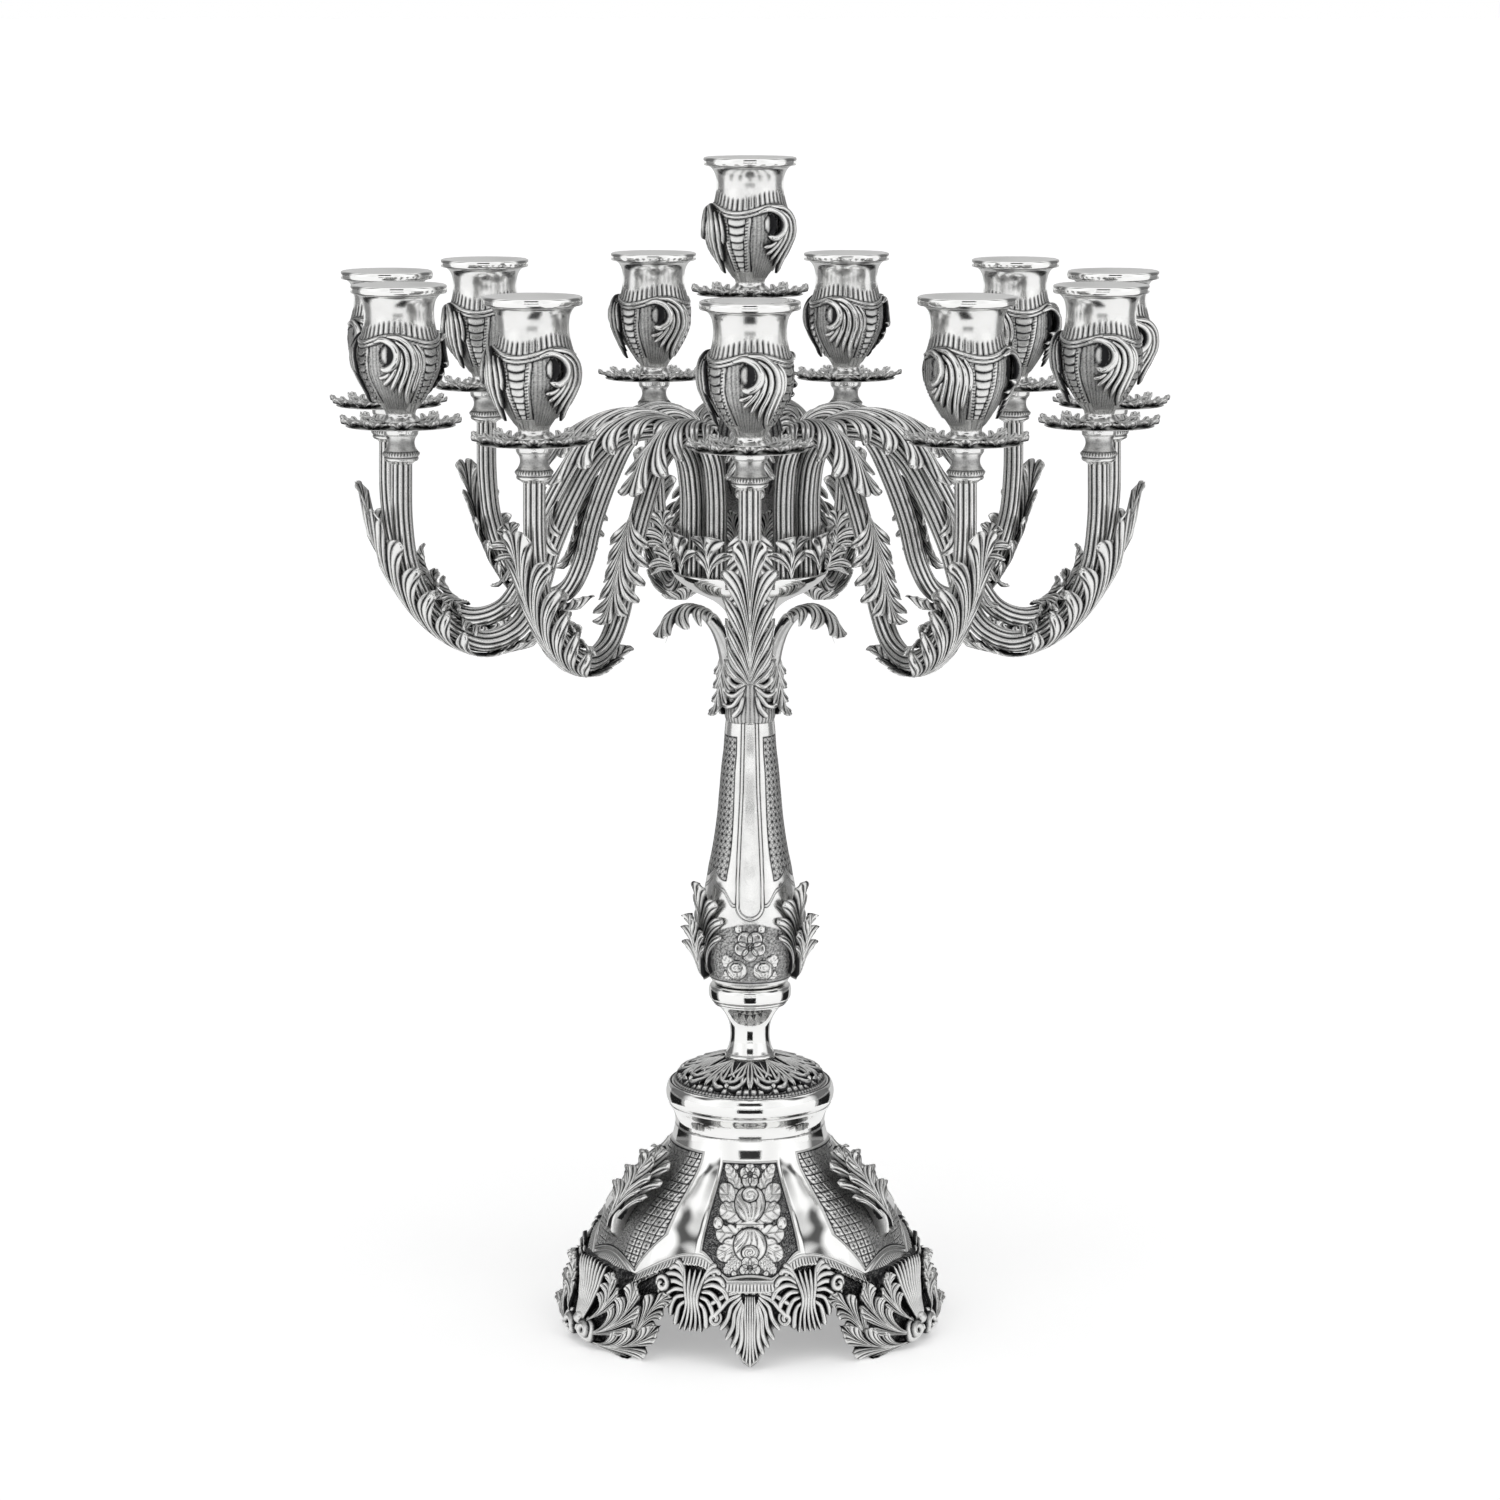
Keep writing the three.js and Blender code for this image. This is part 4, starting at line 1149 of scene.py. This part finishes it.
def stem_relief(angle, radius, height):
    tongue_arc = np.radians(fold(angle, 120)) * radius
    panel_arc = np.radians(fold(angle - 60, 120)) * radius
    proud, dark = np.zeros_like(radius), np.zeros_like(radius)
    wall = radius > 12.2
    rough = chips(radius.shape, 13, 1.3)
    # tongue with a double outline
    edge = tongue_inset(tongue_arc, height)
    proud += 0.8 * smoothstep(edge, -0.2, 0.5)
    dark += 0.9 * bump(edge - 1.7, 0.26) + 0.9 * bump(edge + 0.35, 0.28)
    # fine lattice panel with a star in each square, over a curved double line
    half = np.interp(height, [250, 262, 286, 329], [10.6, 10.4, 8.8, 6.6])
    low = 251 + 0.055 * (10.5 - np.abs(panel_arc)) ** 2
    inside = np.minimum(half - np.abs(panel_arc), np.minimum(height - low, 329 - height))
    field = smoothstep(inside, 0, 0.3)
    cell = STEM_CELL
    star_x, star_y = fold(panel_arc, cell), fold(height, cell)
    lines = np.maximum(bump(star_x - star_y, 0.42), bump(star_x + star_y, 0.42))
    cross_x, cross_y = fold(panel_arc + cell / 2, cell), fold(height + cell / 2, cell)
    cross = np.maximum(bump(cross_x, 0.32), bump(cross_y, 0.32))
    shade = smoothstep(4.5 - np.abs(panel_arc), -3, 2)
    proud += field * (0.2 * rough - 0.35 * np.maximum(lines, cross))
    lattice = 0.02 + 0.5 * lines + 0.42 * cross + 0.15 * shade * (1 - rough)
    dark = dark * (1 - field) + field * lattice + 0.9 * bump(inside, 0.3)
    drop = height - (low - 4.2 - 12 * smoothstep(np.abs(panel_arc), 9, 20))
    dark += 0.8 * (bump(drop, 0.3) + bump(drop + 1.6, 0.26)) * (np.abs(panel_arc) < 19) * (edge < -0.4)
    # punched ground low on the bulb, with balls, a flower and two leafy roses
    arch = 225 + 3 * np.cos(np.radians(fold(angle, 120)) * 3)
    band = between(height, 194.6, 195.4, arch, arch + 1)
    motifs = [blossom(tongue_arc, height, 0, 216.5, 8.0, turn=-90)]
    motifs += mirrored(ball, tongue_arc, height, [(6.4, 225.6, 2.2)])
    motifs += mirrored(frond, tongue_arc, height, BULB_FRONDS)
    motifs += [rose(tongue_arc, height, across, 202.2, 5.6, 5.6) for across in (-7.2, 7.2)]
    flowers = over((0.3 * rough, 0.62 - 0.5 * rough), *motifs)
    proud += band * (flowers[0] - 0.2)
    dark = dark * (1 - band) + band * flowers[1]
    dark += 0.9 * bump(height - 194.4, 0.4) * wall
    return np.where(wall, proud, 0), np.where(wall, dark, 0.2)


def stem_patch():
    outline = profile([
        [(4.6, 190), (18.4, 190)],
        [(20.2, 190.6), (22.0, 193), (24.0, 198), (26.2, 205), (27.5, 213), (27.7, 221), (26.8, 232),
         (25.4, 240), (23, 253), (20.6, 264.6), (18.9, 275), (17.5, 286.6), (15.6, 309), (14.2, 320),
         (13.4, 331), (12.8, 336.7)],
        [(4.6, 336.7)],
    ], 0.5)
    return turned(outline, 280, stem_relief)


def stem_leaves():
    """A big acanthus leaf that stands up beside the bulb, with a smaller one before it."""
    line = [(25.0, 196), (28.4, 205), (30.0, 216), (30.6, 226), (31.2, 236), (33.0, 245), (35.0, 251)]
    path = upright(line, 0.9, (1, 0, 0))
    broad = leaf_shape(58, 19, 4, 3, 0.56, 0.34, 0.24, 0.9)
    slim = leaf_shape(40, 11, 3, 3, 0.5, 0.4, 0.24)
    back = lay_leaf(broad, path, 0, 28, 1.2, edge_lift=-2.2, curl=1.5, sunk=29, thick=1.4, keel=5.5)
    front = lay_leaf(slim, path, 0, 22, 2.0, lift=2.6, curl=2.0, edge_lift=1.0, sunk=22, thick=1.4, keel=3.0)
    return [back, front]


BRACKET_LINE = [(10.5, 345), (12.4, 356), (14.2, 368), (17.4, 380), (23, 390.5), (31, 397.6), (40, 398.6),
                (48, 392.6), (52.6, 383)]


def bracket_wall(height):
    return np.interp(height, [337, 346, 356, 366, 376, 384], [13.0, 13.4, 13.8, 13.2, 11.8, 10.0])


def bracket_scrolls(turn):
    """Paired scrolls and curling lobes that meet at a small boss between two branches."""
    surface = wall_surface(bracket_wall, 14, turn)
    lines = [
        [(11.5, 384, 1.0), (11.0, 374, 2.6), (7.6, 366.4, 3.0), (2.4, 363.6, 2.0)],
        [(12.4, 376, 1.6), (10.0, 367.6, 3.0), (5.2, 362.6, 2.6), (1.6, 361.6, 1.6)],
        [(2.0, 360.0, 1.0), (6.4, 357.6, 2.6), (10.0, 360.4, 3.4), (9.6, 364.4, 3.6)],
        [(2.6, 357.6, 1.0), (7.6, 352.6, 2.6), (12.0, 353.6, 3.4), (12.4, 357.8, 3.6)],
        [(3.4, 355.4, 1.0), (8.4, 347.4, 2.2), (12.6, 346.4, 3.0), (14.2, 349.0, 3.4)],
        [(3.4, 352.0, 0.8), (5.4, 344.8, 1.8), (9.4, 340.2, 2.4)],
    ]
    made = [finger(line, 1.7, 1.8, surface, 1.6) for line in both_sides(lines)]
    return made + [turn_patch(round_bead((0, -15.4, 361.4), 1.7, 16), turn)]


def bracket_body():
    outline = profile([
        [(4.6, 337), (12.8, 337)],
        [(13.6, 340), (13.2, 346), (13.6, 356), (13.0, 366), (11.4, 376), (9.4, 383.7)],
        [(4.6, 383.7)],
    ], 0.7)

    def relief(angle, radius, height):
        flutes = wave(angle / 360 * 36, 0.7)
        return 0.4 * flutes * (radius > 9.5), 0.1 + 0.45 * (1 - flutes) * (radius > 9.5)
    body = turned(outline, 216, relief)
    return merge([body] + [part for turn in THIRDS for part in bracket_scrolls(turn)])


def bracket_branch():
    """One branch: a smooth trunk that bends outwards into a drooping feathered leaf."""
    path = upright(BRACKET_LINE, 1.1)
    t = path.along / path.length
    radius = np.interp(t, [0, 0.35, 0.6, 0.85, 1], [5.0, 4.2, 2.6, 0.4, 0.1])[:, None, None]
    a = np.arange(28) * 2 * np.pi / 28
    ripple = 1 + 0.05 * np.sin(9 * a)[None, :, None] * (t > 0.2)[:, None, None]
    trunk = grid((path.points[:, None] + radius * ripple * path.ring(a, 0.8))[:, ::-1], 0.12, wrap=True)
    clad = lay_leaf(leaf_shape(52, 19, 4, 3, 0.7, 0.36, 0.2), path, path.length - 51, 13.0, 1.6, lift=1.0,
                    curl=1.5, edge_lift=-1.0, sunk=11.4, thick=1.1)
    under = upright([(12.6, 380), (15.4, 368), (16.4, 356), (17.4, 347), (21, 338)], 0.8)
    hanging = lay_leaf(leaf_shape(44, 9, 4, 2, 0.6, 0.3), under, 0, 13, 1.6, lift=0.5, curl=1.5, sunk=13,
                       thick=1.2)
    return [trunk, clad, hanging]


def dish_patch():
    outline = profile([
        [(4.6, 384), (9.6, 384)],
        [(10.4, 384.8), (10.0, 386)],
        [(10.4, 390), (12.0, 394.4), (15.0, 398.6), (19.4, 402.4), (25, 405.4), (31, 408.4),
         (36.4, 412.0), (40.4, 415.6), (42.4, 418.6)],
        [(42.3, 419.3), (41.4, 419.5)],
        [(39.6, 416.3)],
        [(4.6, 416.1)],
    ], 0.6)
    return turned(outline, 160)


def column_patch():
    base = DISH_PLATE
    top = TOP_SEAT
    outline = profile([
        [(4.6, base), (15.2, base)],
        [(16.2, base + 2), (15.4, base + 4.6), (12, base + 7.4), (11.2, base + 10), (11.6, base + 18),
         (12.8, base + 25), (14.8, base + 31), (15.2, base + 34), (14.2, base + 38), (13.2, base + 42),
         (14.4, base + 47), (16.6, base + 56), (17.4, base + 67), (17.2, base + 78), (15, base + 86),
         (12, base + 93), (9, base + 102), (8, base + 108), (7.6, base + 118), (7.8, top - 22)],
        [(9.0, top - 20.6), (9.2, top - 19.0), (8.6, top - 18)],
    ], 0.6)

    def relief(angle, radius, height):
        ring = wave(angle / 360 * 24, 0.7)
        leafy = between(height - base, 44, 50, 88, 98)
        collar = bump(height - base - 33, 3.2)
        petals = wave(angle / 360 * 12 + 0.5, 0.6)
        dark = 0.5 + 0.5 * leafy * (1 - ring) ** 1.5 + collar * (0.4 * (1 - petals) - 0.3 * petals)
        return 0.9 * collar * petals + 0.9 * leafy * ring, dark
    body = turned(outline, 192, relief)
    head = turn_patch(capital_patch(), 0, (0, 0, top))
    line = [(12.6, base + 14), (14.6, base + 26), (17.6, base + 36), (21, base + 40)]
    path = upright(line, 0.8, (1, 0, 0))
    collar_leaf = lay_leaf(leaf_shape(30, 8, 3, 3, 0.6, 0.2), path, 0, 14, 1.1, curl=2.0, sunk=14)
    return merge([body, head] + [turn_patch(collar_leaf, k * 60 + 30) for k in range(6)])


def add_stem():
    singles = [
        ("dome", dome_patch(), polished, ["shoulder_dome"]),
        ("dome_sprays", merge(dome_sprays()), chased, []),
        ("neck", neck_patch(), polished, ["neck_spool"]),
        ("stem", stem_patch(), chased, ["stem_baluster"]),
        ("bracket", bracket_body(), cast, ["leaf_bracket"]),
        ("dish", dish_patch(), polished, ["arm_dish"]),
        ("column", column_patch(), cast, ["centre_column"]),
    ]
    for name, patch, material, nodes in singles:
        piece(f"show_{name}", mesh_of(name, patch), material, nodes)
    leaves = mesh_of("stem_leaves", merge(stem_leaves()))
    branch = mesh_of("bracket_branch", merge(bracket_branch()))
    for i, turn in enumerate(FEET):
        piece(f"show_stem_leaf_{i + 1}", leaves, chased, turn=turn)
        piece(f"show_bracket_branch_{i + 1}", branch, cast, turn=turn)


def add_fixings():
    """The rod and nut keep their own turned shapes."""
    for node in ("tie_rod", "base_nut"):
        shape = bpy.data.objects[node]
        shape.data.materials.clear()
        shape.data.materials.append(steel)


# ---------------------------------------------------------------- assembly
def light_place(name):
    """Which way a light lies from the stem, and where its cup stands."""
    x, y = node_middle(f"cup_{name}")[:2]
    turn = math.degrees(math.atan2(x, -y)) if name != "centre" else 0
    return turn, (x, y, node_low(f"cup_{name}")[2])


# Which way a shell panel of a cup faces; each cup is screwed home at an angle of its own.
CUP_FACING = {"centre": -20, "1": 65, "2": 20.7, "11": -20.7}


def add_lights():
    nozzle = mesh_of("nozzle", nozzle_patch())
    cup = mesh_of("cup", merge([cup_patch()] + [p for c in (60, 180, 300) for p in cup_scroll(c)]))
    pan = mesh_of("drip_pan", drip_pan_patch())
    for name in LIGHTS:
        turn, place = light_place(name)
        body = f"nozzle_{name}"
        piece(f"show_nozzle_{name}", nozzle, polished, [body], turn, place, body)
        face = CUP_FACING.get(name, turn)
        piece(f"show_cup_{name}", cup, chased, [f"cup_{name}"], face, place)
        piece(f"show_drip_pan_{name}", pan, cast, [f"drip_pan_{name}"], turn, place)


def add_arms():
    arm = mesh_of("arm", arm_patch())
    for node in ARM_NODES:
        turn = light_place(node.replace("arm_", ""))[0]
        piece(f"show_{node}", arm, chased, [node], turn)


add_lights()
add_arms()
add_base()
add_stem()
add_fixings()


# ---------------------------------------------------------------- stage, light and camera
def plain_material(name, colour, roughness, glow=0.0):
    material = bpy.data.materials.new(name)
    material.use_nodes = True
    shader = material.node_tree.nodes["Principled BSDF"]
    shader.inputs["Base Color"].default_value = (*colour, 1)
    shader.inputs["Roughness"].default_value = roughness
    shader.inputs["Specular IOR Level"].default_value = 0.0
    shader.inputs["Emission Color"].default_value = (1, 1, 1, 1)
    shader.inputs["Emission Strength"].default_value = glow
    return material


def add_floor():
    bpy.ops.mesh.primitive_plane_add(size=400)
    floor = bpy.context.object
    floor.name = "floor"
    floor.data.materials.append(plain_material("floor", (0.95, 0.95, 0.95), 0.9, 0.36))


# Half the width of the dark gap behind the camera in degrees, and how high the cards lie in metres
FRONT_GAP = 16.5
CARD_HEIGHT = 0.002


def add_cards():
    """Cards on the floor, out of the camera's sight, which carry the gaps of the studio down to
    the object. Only reflections see them."""
    spans = [(-FRONT_GAP, FRONT_GAP, 0.3, 1.3, 0.0), (-FRONT_GAP, FRONT_GAP, 5.0, 60.0, 0.0)]
    for side in (-1, 1):
        for start, end, near, far, glow in (
                (98, 104, 0.3, 60, 0.4), (104, 138, 0.3, 1.5, 0.0), (104, 138, 1.5, 60, 0.25),
                (138, 180, 0.3, 6.0, 0.6)):
            spans.append((*sorted((side * start, side * end)), near, far, glow))
    for i, (start, end, near, far, glow) in enumerate(spans):
        turn = np.radians(np.linspace(start, end, 13))
        points, quads, _ = grid(around(turn, np.array([[near], [far]]), CARD_HEIGHT))
        mesh = bpy.data.meshes.new(f"card_{i + 1}")
        mesh.from_pydata(points.tolist(), [], quads.tolist())
        mesh.materials.append(plain_material(f"card_{i + 1}", (0.02, 0.02, 0.02), 0.9, glow))
        card = bpy.data.objects.new(f"card_{i + 1}", mesh)
        bpy.context.scene.collection.objects.link(card)
        card.visible_camera = False
        card.visible_diffuse = False
        card.visible_shadow = False


def add_world():
    """A white studio with dark gaps between its soft boxes, which polished silver needs."""
    world = bpy.data.worlds.new("studio")
    bpy.context.scene.world = world
    world.use_nodes = True
    nodes, links = world.node_tree.nodes, world.node_tree.links
    calc = calculator(world.node_tree)
    back = nodes["Background"]
    direction = nodes.new("ShaderNodeSeparateXYZ")
    links.new(nodes.new("ShaderNodeTexCoord").outputs["Generated"], direction.inputs[0])

    def soft_patch(value, middle, half, edge):
        """1 within half of the middle, falling to 0 over the edge."""
        off = calc("ABSOLUTE", calc("SUBTRACT", value, middle))
        ramp = calc("DIVIDE", calc("SUBTRACT", half + edge, off), edge)
        return calc("MINIMUM", calc("MAXIMUM", ramp, 0.0), 1.0)

    def sector(middle, half, edge, depth):
        """A soft patch over degrees from the front, the same on the left and the right."""
        limits = (math.radians(degrees) for degrees in (middle, half, edge))
        return calc("MULTIPLY", soft_patch(angle, *limits), depth)

    x, y, z = direction.outputs
    angle = calc("ABSOLUTE", calc("ARCTAN2", x, calc("MULTIPLY", y, -1.0)))
    front = calc("LESS_THAN", angle, math.radians(FRONT_GAP))
    front = calc("MULTIPLY", front, soft_patch(z, 0.43, 0.15, 0.04))
    side = calc("MULTIPLY", sector(121, 16, 12, 0.86), soft_patch(z, 0.0, 0.55, 0.2))
    high = calc("MULTIPLY", sector(80, 8, 14, 0.9), soft_patch(z, 0.66, 0.16, 0.14))
    gap = calc("MAXIMUM", calc("MAXIMUM", calc("MULTIPLY", front, 0.97), side), high)
    behind = sector(180, 34, 14, 0.6)
    soft = calc("MULTIPLY_ADD", calc("COSINE", calc("MULTIPLY", angle, 6.0)), 0.10, 1.10)
    light = calc("MULTIPLY", calc("SUBTRACT", soft, behind), calc("SUBTRACT", 1.0, gap))
    seen = nodes.new("ShaderNodeLightPath").outputs["Is Camera Ray"]
    strength = calc("MAXIMUM", light, seen)
    links.new(strength, back.inputs["Strength"])
    back.inputs["Color"].default_value = (1, 1, 1, 1)


# The photo's viewpoint in metres, the point on the stem that it looks at, and its lens in mm
CAMERA_PLACE = (0, -2.186, 0.721)
CAMERA_AIM = (0, 0, 0.320)
CAMERA_LENS = 97.6


def add_camera():
    data = bpy.data.cameras.new("camera")
    data.sensor_width = 36
    data.lens = CAMERA_LENS
    camera = bpy.data.objects.new("camera", data)
    bpy.context.scene.collection.objects.link(camera)
    camera.location = CAMERA_PLACE
    aim = Vector(CAMERA_AIM) - camera.location
    camera.rotation_euler = aim.to_track_quat("-Z", "Y").to_euler()
    bpy.context.scene.camera = camera


add_floor()
add_cards()
add_world()
add_camera()
bpy.context.scene.view_settings.view_transform = "Standard"
